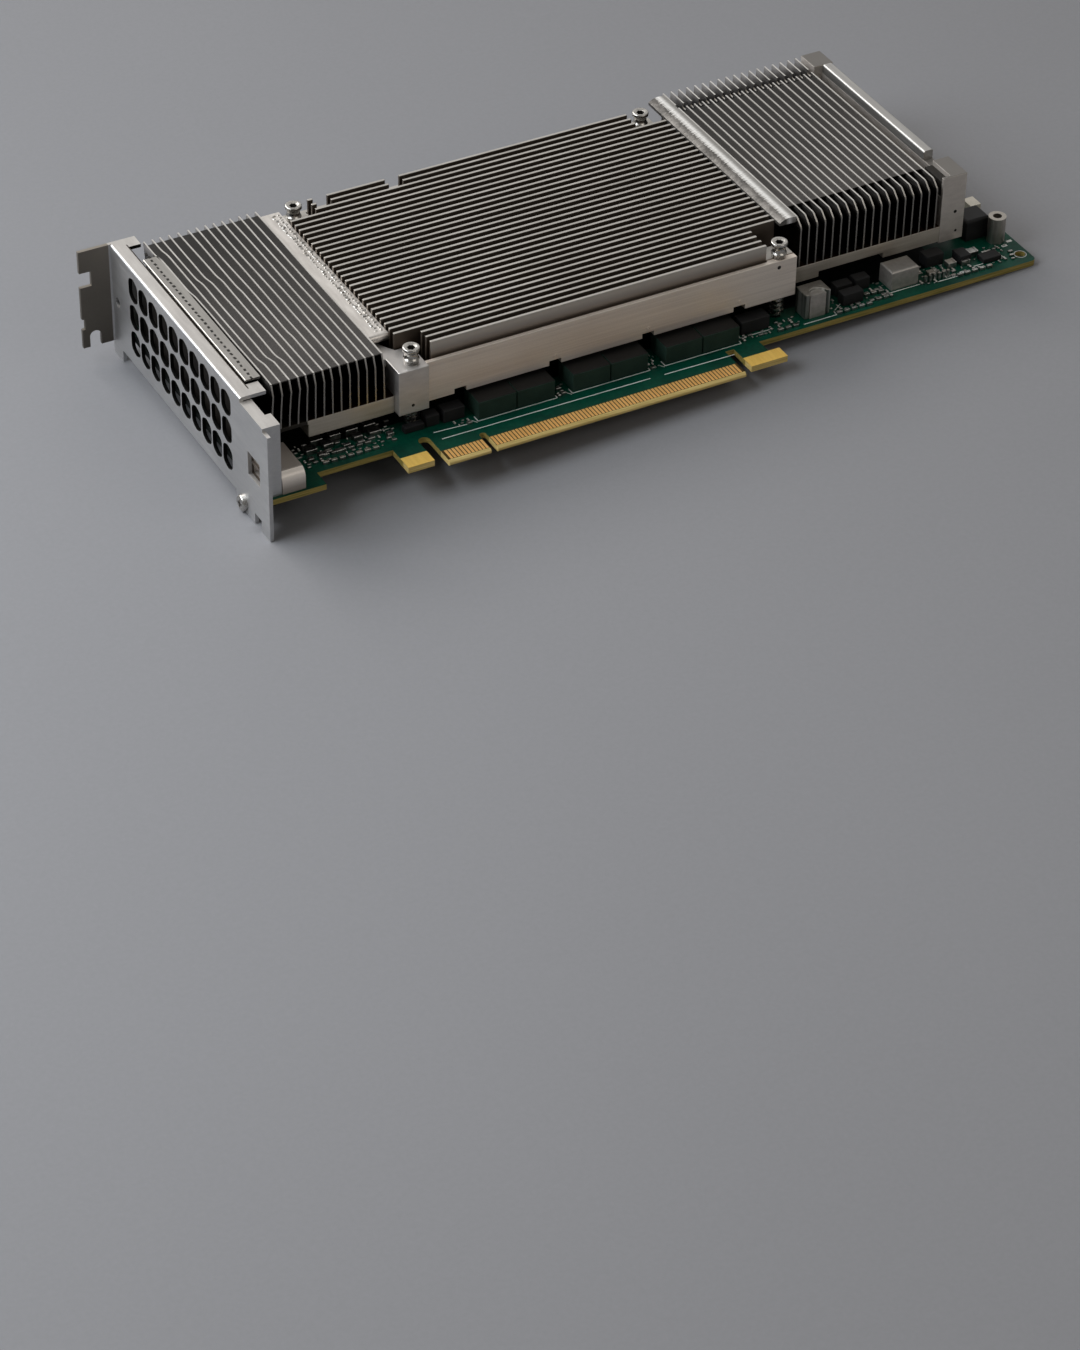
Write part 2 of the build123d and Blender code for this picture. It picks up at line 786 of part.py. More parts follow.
with BuildPart() as end_rail:
    rail_y0 = right_front + frame_block + rail_gap
    rail_y1 = right_back - frame_back_block
    with BuildSketch(Plane.XZ.offset(-rail_y1)) as rail_outline:
        area(frame_x0 + rail_inset, frame_x0 + frame_wall, frame_wall_top, frame_wall_top + rail_height)
        fillet(rail_outline.vertices().group_by(Axis.Y)[-1], radius=rail_round)
    extrude(amount=rail_y1 - rail_y0)
finish(end_rail, "end_rail")

# Spring screws: socket head, barrel, collar, foot and a long shank down to a nut under the board
with BuildPart() as spring_screws:
    for x, y, low, top in screw_points:
        collar_low = top + foot_height
        barrel_low = collar_low + collar_height
        head_low = barrel_low + barrel_height
        head_top = head_low + head_height
        shank_low = -board_thickness - nut_height
        with Locations((x, y, shank_low)):
            Cylinder(shank_radius, top - shank_low, align=(Align.CENTER, Align.CENTER, Align.MIN))
        with Locations((x, y, top)):
            Cylinder(foot_radius, foot_height, align=(Align.CENTER, Align.CENTER, Align.MIN))
        with Locations((x, y, collar_low)):
            Cylinder(collar_radius, collar_height, align=(Align.CENTER, Align.CENTER, Align.MIN))
        with Locations((x, y, barrel_low)):
            Cylinder(barrel_radius, barrel_height, align=(Align.CENTER, Align.CENTER, Align.MIN))
        with Locations((x, y, head_low)):
            Cylinder(head_radius, head_height, align=(Align.CENTER, Align.CENTER, Align.MIN))
        rim = spring_screws.edges().filter_by(GeomType.CIRCLE).filter_by_position(Axis.Z, head_top, head_top)
        fillet(rim.sort_by(lambda edge: (edge.center() - Vector(x, y, head_top)).length)[0], radius=head_round)
        with BuildSketch(Plane.XY.offset(head_top - socket_depth)):
            with Locations((x, y)):
                RegularPolygon(socket_radius, 6)
        extrude(amount=socket_depth, mode=Mode.SUBTRACT)
finish(spring_screws, "spring_screws")

# Coil springs between the board and the heat sink
with BuildPart() as screw_springs:
    for x, y, low, top in screw_points:
        rise = low - spring_wire
        with BuildLine(Plane((x, y, spring_wire / 2))) as coil:
            Helix(pitch=rise / spring_turns, height=rise, radius=spring_radius)
        with BuildSketch(Plane(origin=coil.line @ 0, z_dir=coil.line % 0)):
            Rectangle(spring_wire, spring_wire * 0.9)
        sweep(path=coil.line, is_frenet=True)
finish(screw_springs, "screw_springs")

with BuildPart() as screw_nuts:
    with BuildSketch(Plane.XY.offset(-board_thickness - nut_height)):
        with Locations(*[(x, y) for x, y, low, top in screw_points]):
            RegularPolygon(nut_radius, 6)
            Circle(shank_radius, mode=Mode.SUBTRACT)
    extrude(amount=nut_height)
finish(screw_nuts, "screw_nuts")

# Processor package under the pedestal: carrier, die, memory stacks and the thermal layer
with BuildPart() as processor_carrier:
    with BuildSketch():
        with Locations((die_x, die_y)):
            Rectangle(package_size, package_size)
    extrude(amount=package_thick)
finish(processor_carrier, "processor_carrier")

with BuildPart() as processor_die:
    with BuildSketch(Plane.XY.offset(package_thick)):
        with Locations((die_x, die_y)):
            Rectangle(die_width, die_length)
    extrude(amount=die_thick)
finish(processor_die, "processor_die")

with BuildPart() as memory_stacks:
    with BuildSketch(Plane.XY.offset(package_thick)):
        with Locations((die_x, die_y)):
            with GridLocations(die_width + stack_width + 2 * stack_gap, stack_length + stack_gap, 2, 2):
                Rectangle(stack_width, stack_length)
    extrude(amount=die_thick)
finish(memory_stacks, "memory_stacks")

with BuildPart() as thermal_layer:
    layer_low = package_thick + die_thick
    layer_width = die_width + 2 * stack_width + 2 * stack_gap
    with BuildSketch(Plane.XY.offset(layer_low)):
        with Locations((die_x, die_y)):
            Rectangle(layer_width, die_length)
    extrude(amount=pedestal_gap - layer_low)
finish(thermal_layer, "thermal_layer")

# Long black power modules in front of the base, each with a seam across its middle
with BuildPart() as power_modules:
    half = (module_length - module_seam) / 2
    for index in range(module_count):
        start = face_x + module_first + index * module_pitch
        for module_x in (start, start + half + module_seam):
            with BuildSketch():
                area(module_x, module_x + half, module_front, module_front + module_depth)
            extrude(amount=module_height)
    fillet(power_modules.edges().filter_by(Axis.X).group_by(Axis.Z)[-1], radius=0.3)
finish(power_modules, "power_modules")

# Black chips of the power stage
with BuildPart() as driver_chips:
    near_chips = [(face_x + start, *sizes) for start, *sizes in chips]
    far_chips = [(board_x1 - inset, *sizes) for inset, *sizes in end_chips]
    for chip_x, front, length, depth, height in near_chips + far_chips:
        with BuildSketch():
            area(chip_x, chip_x + length, front, front + depth)
        extrude(amount=height)
finish(driver_chips, "driver_chips")

# Metal-cased inductor with a round notch in its front
with BuildPart() as notched_inductor:
    with BuildSketch():
        area(face_x + coil_x, face_x + coil_x + coil_length, coil_front, coil_front + coil_depth)
        with Locations((face_x + coil_x + coil_length / 2, coil_front)):
            Circle(coil_notch, mode=Mode.SUBTRACT)
    extrude(amount=coil_height)
finish(notched_inductor, "notched_inductor")

with BuildPart() as inductor_core:
    with BuildSketch():
        with Locations((face_x + coil_x + coil_length / 2, coil_front)):
            Circle(coil_notch - clearance)
        core_x = face_x + coil_x
        area(core_x, core_x + coil_length, coil_front - coil_notch, coil_front, mode=Mode.SUBTRACT)
    extrude(amount=coil_height - choke_round)
finish(inductor_core, "inductor_core")

with BuildPart() as plain_inductor:
    with BuildSketch():
        choke_x = board_x1 - choke_inset
        area(choke_x, choke_x + choke_length, choke_front, choke_front + choke_depth)
    extrude(amount=choke_height)
    fillet(plain_inductor.edges().group_by(Axis.Z)[-1], radius=choke_round)
finish(plain_inductor, "plain_inductor")

# Parts at the far end of the board
with BuildPart() as end_choke:
    cube_x0 = board_x1 - cube_inset
    with BuildSketch():
        area(cube_x0, cube_x0 + cube_length, cube_front, cube_front + cube_depth)
    extrude(amount=cube_height)
    chamfer(end_choke.edges().group_by(Axis.Z)[-1], length=choke_round)
finish(end_choke, "end_choke")

with BuildPart() as end_post:
    with Locations((board_x1 - post_inset, post_y, 0)):
        Cylinder(post_radius, post_height, align=(Align.CENTER, Align.CENTER, Align.MIN))
    with Locations((board_x1 - post_inset, post_y, post_height)):
        Hole(post_bore, depth=post_bore_depth)
finish(end_post, "end_post")

with BuildPart() as end_connector:
    socket_x0 = board_x1 - socket_x_inset
    brick(socket_x0, socket_x0 + socket_length, socket_y, socket_y + socket_width, 0, socket_height)
    brick(
        socket_x0 + socket_wall,
        socket_x0 + socket_length,
        socket_y + socket_wall,
        socket_y + socket_width - socket_wall,
        socket_wall,
        socket_height - socket_wall / 2,
        mode=Mode.SUBTRACT,
    )
finish(end_connector, "end_connector")

with BuildPart() as pin_row:
    with BuildSketch():
        with Locations((board_x1 - pin_inset + (pin_count - 1) * pin_pitch / 2, pin_y)):
            with GridLocations(pin_pitch, 1, pin_count, 1):
                Rectangle(pin_size, pin_size)
    extrude(amount=pin_height)
finish(pin_row, "pin_row")

with BuildPart() as chip_capacitors:
    rows = [(face_x + first, face_x + last, row_y) for first, last, row_y in capacitor_rows]
    rows.append((board_x1 - end_row[0], board_x1 - end_row[1], end_row[2]))
    for first, last, row_y in rows:
        places = int((last - first) / capacitor_pitch + 0.5) + 1
        with BuildSketch():
            with Locations(((first + last) / 2, row_y)):
                with GridLocations(capacitor_pitch, 1, places, 1):
                    Rectangle(capacitor_length, capacitor_width)
        extrude(amount=capacitor_height)
finish(chip_capacitors, "chip_capacitors")
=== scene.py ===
"""Looks of the passive accelerator card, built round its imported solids."""
import math
import random

import bmesh
import bpy
from mathutils import Matrix, Vector, noise


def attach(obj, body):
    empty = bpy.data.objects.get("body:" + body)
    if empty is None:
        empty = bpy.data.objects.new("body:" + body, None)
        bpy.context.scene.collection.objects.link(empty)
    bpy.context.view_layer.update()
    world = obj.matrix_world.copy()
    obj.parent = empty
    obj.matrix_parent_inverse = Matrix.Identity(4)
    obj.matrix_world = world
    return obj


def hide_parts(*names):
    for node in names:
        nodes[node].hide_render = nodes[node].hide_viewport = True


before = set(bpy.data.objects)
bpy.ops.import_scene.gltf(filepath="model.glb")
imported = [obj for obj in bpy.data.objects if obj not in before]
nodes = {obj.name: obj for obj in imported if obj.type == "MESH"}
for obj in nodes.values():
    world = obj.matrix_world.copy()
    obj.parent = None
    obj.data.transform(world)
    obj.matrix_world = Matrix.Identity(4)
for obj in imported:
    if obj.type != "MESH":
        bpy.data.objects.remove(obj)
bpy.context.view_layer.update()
scene = bpy.context.scene
chance = random.Random(7)

MM = 0.001
KEY_TO_BRACKET = 60.3  # middle of the key slot to the bracket's outer face

# Camera, fitted to the photo: angles in degrees, lengths in mm
CAMERA_AZIMUTH = -29.017
CAMERA_ELEVATION = 38.375
CAMERA_ROLL = 1.021
CAMERA_AIM = (110.0, 55.0, 10.0)
CAMERA_DISTANCE = 1072.5
CAMERA_PAN = (-6.55, -108.75)
CAMERA_LENS = 109.68

# Floor: the card lies on its bracket's foot and on the far end of the board
FLOOR_AT_BRACKET = -11.05
FLOOR_AT_END = -1.65
FLOOR_REACH = 3000
BOARD_REACH = 229.0
ROOM_LIGHT = (0.38, 0.69, 0.62)  # the way to the brightest part of the room

# Heights and places on the card, in mm from the bracket's face, the contact edge and the board's top
BARE_FIBRE_END = 5.0  # the solder mask starts here, behind the contacts
CONTACT_FRONT = 0.8  # the dark gaps between the contacts start here
VENT_FRONT = 22.0
VENT_BACK = 93.0
VENT_TOP = 20.6
VENT_BOTTOM = -6.0
FACE_INSIDE = 0.9  # just short of the inner side of the bracket's face
TAB_BACK = -0.5  # the screw tab lies outside this
TAB_DARK_TOP = 24.0  # the tab grows darker from here down
TAB_DARK_REACH = 45.0
SKIRT_NEAR = 3.6
SKIRT_FAR = 3.9
SKIRT_BACK = 95.0
SKIRT_FOOT = 0.2
SKIRT_DROP = 0.6  # below the lip's top
LEFT_FIN_TOP = 22.9
LEFT_FIN_BASE = 9.9
LEFT_FIN_FRONT = 18.9
LEFT_FIN_BACK = 93.3
LEFT_FIN_FIRST = 8.4
LEFT_FIN_LAST = 39.2
LEFT_FIN_COUNT = 14
LEFT_FIN_THICK = 0.4
LEFT_BEND = (1.1, 3.0)  # how far the front leans back at the top, and over what height
LEFT_FIN_COLUMNS = 58
LEFT_FIN_ROWS = 4
FIN_LIT_DEPTH = 3.4  # painted shade darkens the fins this far below their tops
LEFT_FLANGE_FRONT = 20.2  # the fins' folded top flanges start here, just behind the bend
LEFT_FLANGE_BACK = 91.5
RIGHT_FLANGE_FRONT = 32.5
RIGHT_FLANGE_BACK = 86.4  # the flanges stop before the groove
FLANGE_DROP = 0.16
FLANGE_THICK = 0.3
FLANGE_INSET = 0.08  # from the middle of each fin
FLANGE_FAR = 85.0  # the flanges are darkest here
FLANGE_NEAR = 35.0
SHADED_REACH = 205.0  # painted shade covers the board under the heat sink up to here
SHADED_FRONT = 20.8
SHADED_BACK = 86.0
SHADED_LOW = -0.5  # the shade is on the upper face only
SHADED_EDGE_REACH = 6.0  # painted shade covers the board's cut edge up to here
BASE_SHADE_END = 18.0  # painted shade covers the left base's front up to here
PORT_TOP = 5.8
PORT_MOUTH = 1.6
CENTER_FIN_TOP = 22.3
CENTER_FRONT_FIN = 19.75  # just behind the face of the first long fin
CENTER_WALL_BACK = 19.3
RIGHT_FIN_TOP = 23.2
RIGHT_FIN_THICK = 0.42
RIGHT_BEND = (2.4, 2.2)
GROOVE_INSET = 8.4
GROOVE_WIDTH = 1.5
GROOVE_DEPTH = 1.4
RIDGE_CREST = 160.5
LIP_TOP = 22.9
COVER_TOP = 21.0
LIP_SLOT_COUNT = 34
LIP_SLOT_FRONT = 24.5
LIP_SLOT_PITCH = 1.9
LIP_SLOT_NEAR = 5.6
LIP_SLOT_LENGTH = 1.2
BAND_COUNT = 50
BAND_FRONT = 31.5
BAND_PITCH = 1.22
BAND_ROWS = (43.2, 44.6)
PIP_COUNT = 4
PIP_FIRST = 59.8
PIP_PITCH = 27.0
PIP_FACE = (17.6, 9.0)
# Small holes in the front faces: middle and radius
SMALL_HOLES = (
    ((45.9, 16.4, 7.4), 0.45),
    ((152.3, 17.6, 16.0), 0.55),
    ((211.0, 24.6, 12.4), 0.5),
    ((211.6, 24.6, 6.4), 0.4),
)
HOLE_RINGS = ((226.5, 15.0), (226.5, 93.8))
END_BLOCK_SLOT = ((206.55, 25.6, 17.7), (208.9, 33.9, 22.3))


def spot(x, y, z):
    """A point in metres, from mm measured from the bracket's face, the contact edge and the board's top."""
    return Vector((from_bracket(x), y * MM, z * MM))


def from_bracket(distance):
    """A place along the card in metres, from mm measured from the bracket's face."""
    return (distance - KEY_TO_BRACKET) * MM


def set_camera():
    az = math.radians(CAMERA_AZIMUTH)
    el = math.radians(CAMERA_ELEVATION)
    roll = math.radians(CAMERA_ROLL)
    back = Vector((math.sin(az) * math.cos(el), -math.cos(az) * math.cos(el), math.sin(el)))
    level_line = Vector((math.cos(az), math.sin(az), 0))
    rise = back.cross(level_line)
    right = level_line * math.cos(roll) + rise * math.sin(roll)
    up = rise * math.cos(roll) - level_line * math.sin(roll)
    eye = spot(*CAMERA_AIM) + (back * CAMERA_DISTANCE + right * CAMERA_PAN[0] + up * CAMERA_PAN[1]) * MM
    data = bpy.data.cameras.new("photo_camera")
    data.lens = CAMERA_LENS
    data.sensor_width = 36
    data.clip_start = 0.05
    data.clip_end = 20
    camera = bpy.data.objects.new("photo_camera", data)
    turn = Matrix((right, up, back)).transposed().to_4x4()
    camera.matrix_world = Matrix.Translation(eye) @ turn
    scene.collection.objects.link(camera)
    scene.camera = camera


def node_group(name, inputs, outputs):
    """A shader node group with float inputs and outputs of the given names."""
    group = bpy.data.node_groups.new(name, "ShaderNodeTree")
    for label, value in inputs:
        socket = group.interface.new_socket(label, in_out="INPUT", socket_type="NodeSocketFloat")
        socket.default_value = value
    for label in outputs:
        group.interface.new_socket(label, in_out="OUTPUT", socket_type="NodeSocketFloat")
    return group, group.nodes.new("NodeGroupInput").outputs, group.nodes.new("NodeGroupOutput").inputs


def add(tree, kind, *links, **settings):
    """A node with its settings, and its inputs joined to other sockets or set to plain values."""
    node = tree.nodes.new(kind)
    for key, value in settings.items():
        setattr(node, key, value)
    for label, source in links:
        if isinstance(source, bpy.types.NodeSocket):
            tree.links.new(source, node.inputs[label])
        else:
            node.inputs[label].default_value = source
    return node


def math_node(tree, operation, a, b=0.0):
    return add(tree, "ShaderNodeMath", (0, a), (1, b), operation=operation).outputs["Value"]


def less(tree, a, b):
    return math_node(tree, "LESS_THAN", a, b)


def more(tree, a, b):
    return math_node(tree, "GREATER_THAN", a, b)


def all_of(tree, first, *others):
    """The product of several masks."""
    product = first
    for mask in others:
        product = math_node(tree, "MULTIPLY", product, mask)
    return product


def blend(tree, share, first, second):
    """One mask made of two, by the share of the second."""
    return add(tree, "ShaderNodeMix", (0, share), (2, first), (3, second)).outputs[0]


def make_mottle():
    """Broad blotches and fine grain, as one mask about a half."""
    group, entry, leave = node_group("mottle", [("Broad", 60.0), ("Fine", 1500.0)], ["Mask"])
    place = add(group, "ShaderNodeTexCoord").outputs["Object"]
    broad = add(group, "ShaderNodeTexNoise", ("Vector", place), ("Scale", entry["Broad"]), ("Detail", 2.0))
    fine = add(group, "ShaderNodeTexNoise", ("Vector", place), ("Scale", entry["Fine"]), ("Detail", 1.0))
    both = blend(group, 0.35, broad.outputs["Fac"], fine.outputs["Fac"])
    group.links.new(both, leave["Mask"])
    return group


def make_brushing():
    """Drawn lines in a metal surface, stretched along the three axes by the given scales."""
    inputs = [("Scale X", 2000.0), ("Scale Y", 2000.0), ("Scale Z", 2000.0)]
    group, entry, leave = node_group("brushing", inputs, ["Lines"])
    place = add(group, "ShaderNodeTexCoord").outputs["Object"]
    scale = add(
        group,
        "ShaderNodeCombineXYZ",
        ("X", entry["Scale X"]),
        ("Y", entry["Scale Y"]),
        ("Z", entry["Scale Z"]),
    )
    ends = [(0, place), (1, scale.outputs["Vector"])]
    stretched = add(group, "ShaderNodeVectorMath", *ends, operation="MULTIPLY").outputs["Vector"]
    lines = add(group, "ShaderNodeTexNoise", ("Vector", stretched), ("Scale", 1.0), ("Detail", 2.0))
    group.links.new(lines.outputs["Fac"], leave["Lines"])
    return group


def make_depth():
    """Mask that falls from one at a height to nothing at a depth below it."""
    group, entry, leave = node_group("depth", [("Top", 0.02), ("Reach", 0.003)], ["Mask"])
    place = add(group, "ShaderNodeTexCoord").outputs["Object"]
    height = add(group, "ShaderNodeSeparateXYZ", ("Vector", place)).outputs["Z"]
    below = math_node(group, "SUBTRACT", entry["Top"], height)
    share = math_node(group, "DIVIDE", below, entry["Reach"])
    fall = add(group, "ShaderNodeMapRange", ("Value", share), ("To Min", 1.0), ("To Max", 0.0))
    group.links.new(fall.outputs["Result"], leave["Mask"])
    return group


def make_facing():
    """How far the surface faces along each axis, from nothing to one."""
    group, _, leave = node_group("facing", [], ["X", "Y", "Z"])
    normal = add(group, "ShaderNodeNewGeometry").outputs["Normal"]
    parts = add(group, "ShaderNodeSeparateXYZ", ("Vector", normal))
    for axis in "XYZ":
        group.links.new(math_node(group, "ABSOLUTE", parts.outputs[axis]), leave[axis])
    return group


MOTTLE = make_mottle()
BRUSHING = make_brushing()
DEPTH = make_depth()
FACING = make_facing()


def effect(tree, group, *values):
    """One of the shared effects, with its own values."""
    node = tree.nodes.new("ShaderNodeGroup")
    node.node_tree = group
    for socket, value in zip(node.inputs, values):
        socket.default_value = value
    return node.outputs


def mottled(tree, broad, fine):
    return effect(tree, MOTTLE, broad, fine)["Mask"]


def brushed(tree, *scales):
    return effect(tree, BRUSHING, *scales)["Lines"]


def lit_depth(tree, top, reach):
    """The depth mask, from sizes in mm."""
    return effect(tree, DEPTH, top * MM, reach * MM)["Mask"]


def faces(tree, axis):
    return effect(tree, FACING)[axis]


def new_material(name, metallic=0.0, gloss=0.5):
    """A material with its node tree and the inputs of its shader."""
    material = bpy.data.materials.new(name)
    material.use_nodes = True
    tree = material.node_tree
    shader = tree.nodes["Principled BSDF"].inputs
    shader["Metallic"].default_value = metallic
    shader["Specular IOR Level"].default_value = gloss
    return material, tree, shader


def tone(tree, mask, dark, light, low=0.3, high=0.7):
    """Colour between two tones, by a mask."""
    ramp = add(tree, "ShaderNodeValToRGB", ("Fac", mask))
    ramp.color_ramp.elements[0].position = low
    ramp.color_ramp.elements[0].color = (*dark, 1)
    ramp.color_ramp.elements[1].position = high
    ramp.color_ramp.elements[1].color = (*light, 1)
    return ramp.outputs["Color"]


def level(tree, mask, low, high):
    """Value between two levels, by a mask."""
    links = [("Value", mask), ("From Min", 0.3), ("From Max", 0.7), ("To Min", low), ("To Max", high)]
    return add(tree, "ShaderNodeMapRange", *links).outputs["Result"]


def over(tree, mask, below, above):
    """One colour laid over another by a mask; each may be a plain tone."""
    mix = add(tree, "ShaderNodeMix", (0, mask), data_type="RGBA")
    for label, colour in ((6, below), (7, above)):
        if isinstance(colour, bpy.types.NodeSocket):
            tree.links.new(colour, mix.inputs[label])
        else:
            mix.inputs[label].default_value = (*colour, 1)
    return mix.outputs[2]


def coat(tree, shader, colour, rough, grain, bump, depth=0.0001):
    """Join a colour, a roughness and a bumped grain to the shader."""
    tree.links.new(colour, shader["Base Color"])
    tree.links.new(rough, shader["Roughness"])
    relief = add(tree, "ShaderNodeBump", ("Height", grain), ("Strength", bump), ("Distance", depth))
    tree.links.new(relief.outputs["Normal"], shader["Normal"])


def axis_place(tree):
    place = add(tree, "ShaderNodeTexCoord").outputs["Object"]
    return add(tree, "ShaderNodeSeparateXYZ", ("Vector", place)).outputs


def metal(name, dark, light, rough, scales, bump=0.05, metallic=1.0, top_shade=0.0):
    """A metal finish with drawn lines and broad blotches, and painted shade darkening the upward faces
    where asked.
    """
    material, tree, shader = new_material(name, metallic)
    blotch = mottled(tree, 45.0, 2500.0)
    lines = brushed(tree, *scales)
    wear = blend(tree, 0.5, blotch, lines)
    colour = tone(tree, wear, dark, light)
    if top_shade:
        upward = more(tree, faces(tree, "Z"), 0.8)
        # painted shade: upward faces are mixed towards a dull dark grey
        colour = over(tree, all_of(tree, upward, top_shade), colour, (0.10, 0.096, 0.09))
    coat(tree, shader, colour, level(tree, wear, *rough), lines, bump)
    return material


def fin_metal(name, top, side, gap_shade):
    """Thin fins: cut edges bright near the top, partly real bright metal and partly a painted highlight,
    and grey sides near the top, with painted shade going dark down in the gaps.
    """
    material, tree, shader = new_material(name, 1.0)
    blotch = mottled(tree, 70.0, 2600.0)
    lines = brushed(tree, 300.0, 300.0, 3000.0)
    painted_light_near_top = lit_depth(tree, top, FIN_LIT_DEPTH)
    # painted shade: the sides darken down in the gaps between the fins
    sides = tone(tree, painted_light_near_top, gap_shade, side, 0.0, 1.0)
    edge = less(tree, faces(tree, "X"), 0.6)
    # cut edges: partly real bright metal, partly a painted highlight near the top, with painted shade lower
    # down
    bright = tone(tree, blotch, (0.58, 0.56, 0.53), (0.80, 0.78, 0.75))
    edges = over(tree, painted_light_near_top, (0.34, 0.32, 0.29), bright)
    colour = over(tree, edge, sides, edges)
    coat(tree, shader, colour, level(tree, lines, 0.26, 0.4), lines, 0.08)
    return material


def skived_finish():
    """Centre section: a warm brushed front, pale fin tops, and painted shade on the fin sides down in the
    gaps and low on the first fin's face.
    """
    material, tree, shader = new_material("skived_aluminium", 0.65)
    blotch = mottled(tree, 38.0, 2500.0)
    lines = brushed(tree, 35.0, 700.0, 1600.0)
    wear = blend(tree, 0.5, blotch, lines)
    front = tone(tree, wear, (0.68, 0.60, 0.53), (0.90, 0.82, 0.74))
    tops = tone(tree, wear, (0.36, 0.34, 0.31), (0.53, 0.505, 0.47))
    painted_light_near_top = lit_depth(tree, CENTER_FIN_TOP, 3.2)
    # painted shade: the fin sides stay dark down in the gaps
    sides = tone(tree, painted_light_near_top, (0.075, 0.056, 0.042), (0.105, 0.084, 0.067), 0.0, 1.0)
    # painted shade: the first fin's face darkens lower down
    face = lit_depth(tree, CENTER_FIN_TOP, 4.6)
    first_fin_shade = tone(tree, face, (0.16, 0.125, 0.098), (0.50, 0.47, 0.435), 0.0, 0.8)
    upward = more(tree, faces(tree, "Z"), 0.5)
    colour = over(tree, upward, sides, tops)
    place = axis_place(tree)["Y"]
    colour = over(tree, less(tree, place, CENTER_FRONT_FIN * MM), colour, first_fin_shade)
    colour = over(tree, less(tree, place, CENTER_WALL_BACK * MM), colour, front)
    coat(tree, shader, colour, level(tree, wear, 0.4, 0.54), lines, 0.1)
    return material


def base_finish():
    """Heat sink bases: brushed front with a straw tint, and painted shade on the tops down between the fins
    and on the left end of the front.
    """
    material, tree, shader = new_material("base_aluminium", 0.7)
    blotch = mottled(tree, 60.0, 2400.0)
    lines = brushed(tree, 60.0, 500.0, 1500.0)
    wear = blend(tree, 0.5, blotch, lines)
    colour = tone(tree, wear, (0.48, 0.43, 0.355), (0.65, 0.595, 0.525))
    upward = more(tree, faces(tree, "Z"), 0.9)
    # painted shade on the upward faces between the fins
    colour = over(tree, upward, colour, tone(tree, blotch, (0.008, 0.005, 0.004), (0.05, 0.022, 0.012)))
    # painted shade on the left end of the left base's front
    near = less(tree, axis_place(tree)["X"], from_bracket(BASE_SHADE_END))
    colour = over(tree, near, colour, (0.035, 0.030, 0.024))
    coat(tree, shader, colour, level(tree, wear, 0.36, 0.5), lines, 0.08)
    return material


def ridge_finish():
    """Ridge strip, brushed across, with a painted highlight along the crest and painted shade on the ragged
    edge beside the centre fins.
    """
    material, tree, shader = new_material("ridge_sheet", 0.85)
    strokes = brushed(tree, 40.0, 3200.0, 40.0)
    blotch = mottled(tree, 160.0, 1800.0)
    across = math_node(tree, "SUBTRACT", axis_place(tree)["X"], from_bracket(RIDGE_CREST))
    ragged = math_node(tree, "MULTIPLY", math_node(tree, "SUBTRACT", strokes, 0.5), 2.6 * MM)
    reach = math_node(tree, "ADD", across, ragged)
    colour = tone(tree, strokes, (0.28, 0.27, 0.257), (0.50, 0.485, 0.465))
    from_crest = math_node(tree, "DIVIDE", math_node(tree, "ABSOLUTE", reach), 1.1 * MM)
    # painted highlight along the crest
    crest = add(tree, "ShaderNodeMapRange", ("Value", from_crest), ("To Min", 1.0), ("To Max", 0.0))
    colour = over(tree, crest.outputs["Result"], colour, (0.95, 0.94, 0.92))
    # painted shade on the ragged edge beside the centre fins
    left = less(tree, reach, -1.0 * MM)
    colour = over(tree, left, colour, tone(tree, blotch, (0.012, 0.011, 0.010), (0.20, 0.188, 0.175)))
    coat(tree, shader, colour, level(tree, strokes, 0.42, 0.6), strokes, 0.25)
    return material


def flange_finish():
    """Folded tops of the thin fins: dull grey sheet with a close grain, darker to the back."""
    material, tree, shader = new_material("flange_sheet", 0.3, 0.25)
    blotch = mottled(tree, 55.0, 2600.0)
    grain = brushed(tree, 2600.0, 2600.0, 2600.0)
    wear = blend(tree, 0.55, blotch, grain)
    place = axis_place(tree)["Y"]
    ends = [("From Min", FLANGE_FAR * MM), ("From Max", FLANGE_NEAR * MM)]
    nearer = add(tree, "ShaderNodeMapRange", ("Value", place), *ends)
    rear = tone(tree, wear, (0.008, 0.007, 0.006), (0.026, 0.0235, 0.0215))
    fore = tone(tree, wear, (0.026, 0.0235, 0.0215), (0.078, 0.071, 0.066))
    colour = over(tree, nearer.outputs["Result"], rear, fore)
    coat(tree, shader, colour, level(tree, wear, 0.42, 0.58), grain, 0.2)
    return material


def shell_finish():
    """Port shell: cream plated sheet, with painted shade on top, low down and at its mouth."""
    material, tree, shader = new_material("port_shell_steel", 0.15)
    blotch = mottled(tree, 120.0, 2200.0)
    height = lit_depth(tree, PORT_TOP, PORT_TOP)
    cream = tone(tree, blotch, (0.92, 0.84, 0.76), (0.99, 0.93, 0.87))
    # painted shade low down on the shell
    shade = add(tree, "ShaderNodeMapRange", ("Value", height), ("From Min", 0.75), ("From Max", 0.25))
    colour = over(tree, shade.outputs["Result"], cream, (0.34, 0.30, 0.265))
    # painted shade on the upward faces
    upward = more(tree, faces(tree, "Z"), 0.97)
    colour = over(tree, upward, colour, (0.33, 0.295, 0.265))
    # painted shade in the port's mouth
    mouth_shade = less(tree, axis_place(tree)["X"], from_bracket(PORT_MOUTH))
    colour = over(tree, mouth_shade, colour, (0.09, 0.07, 0.055))
    coat(tree, shader, colour, level(tree, blotch, 0.3, 0.44), blotch, 0.06)
    return material


def plastic(name, dark, light, rough, gloss=0.4):
    """A moulded finish with fine grain."""
    material, tree, shader = new_material(name, gloss=gloss)
    grain = mottled(tree, 200.0, 2500.0)
    colour = tone(tree, grain, dark, light)
    coat(tree, shader, colour, level(tree, grain, *rough), grain, 0.1, 0.0002)
    return material


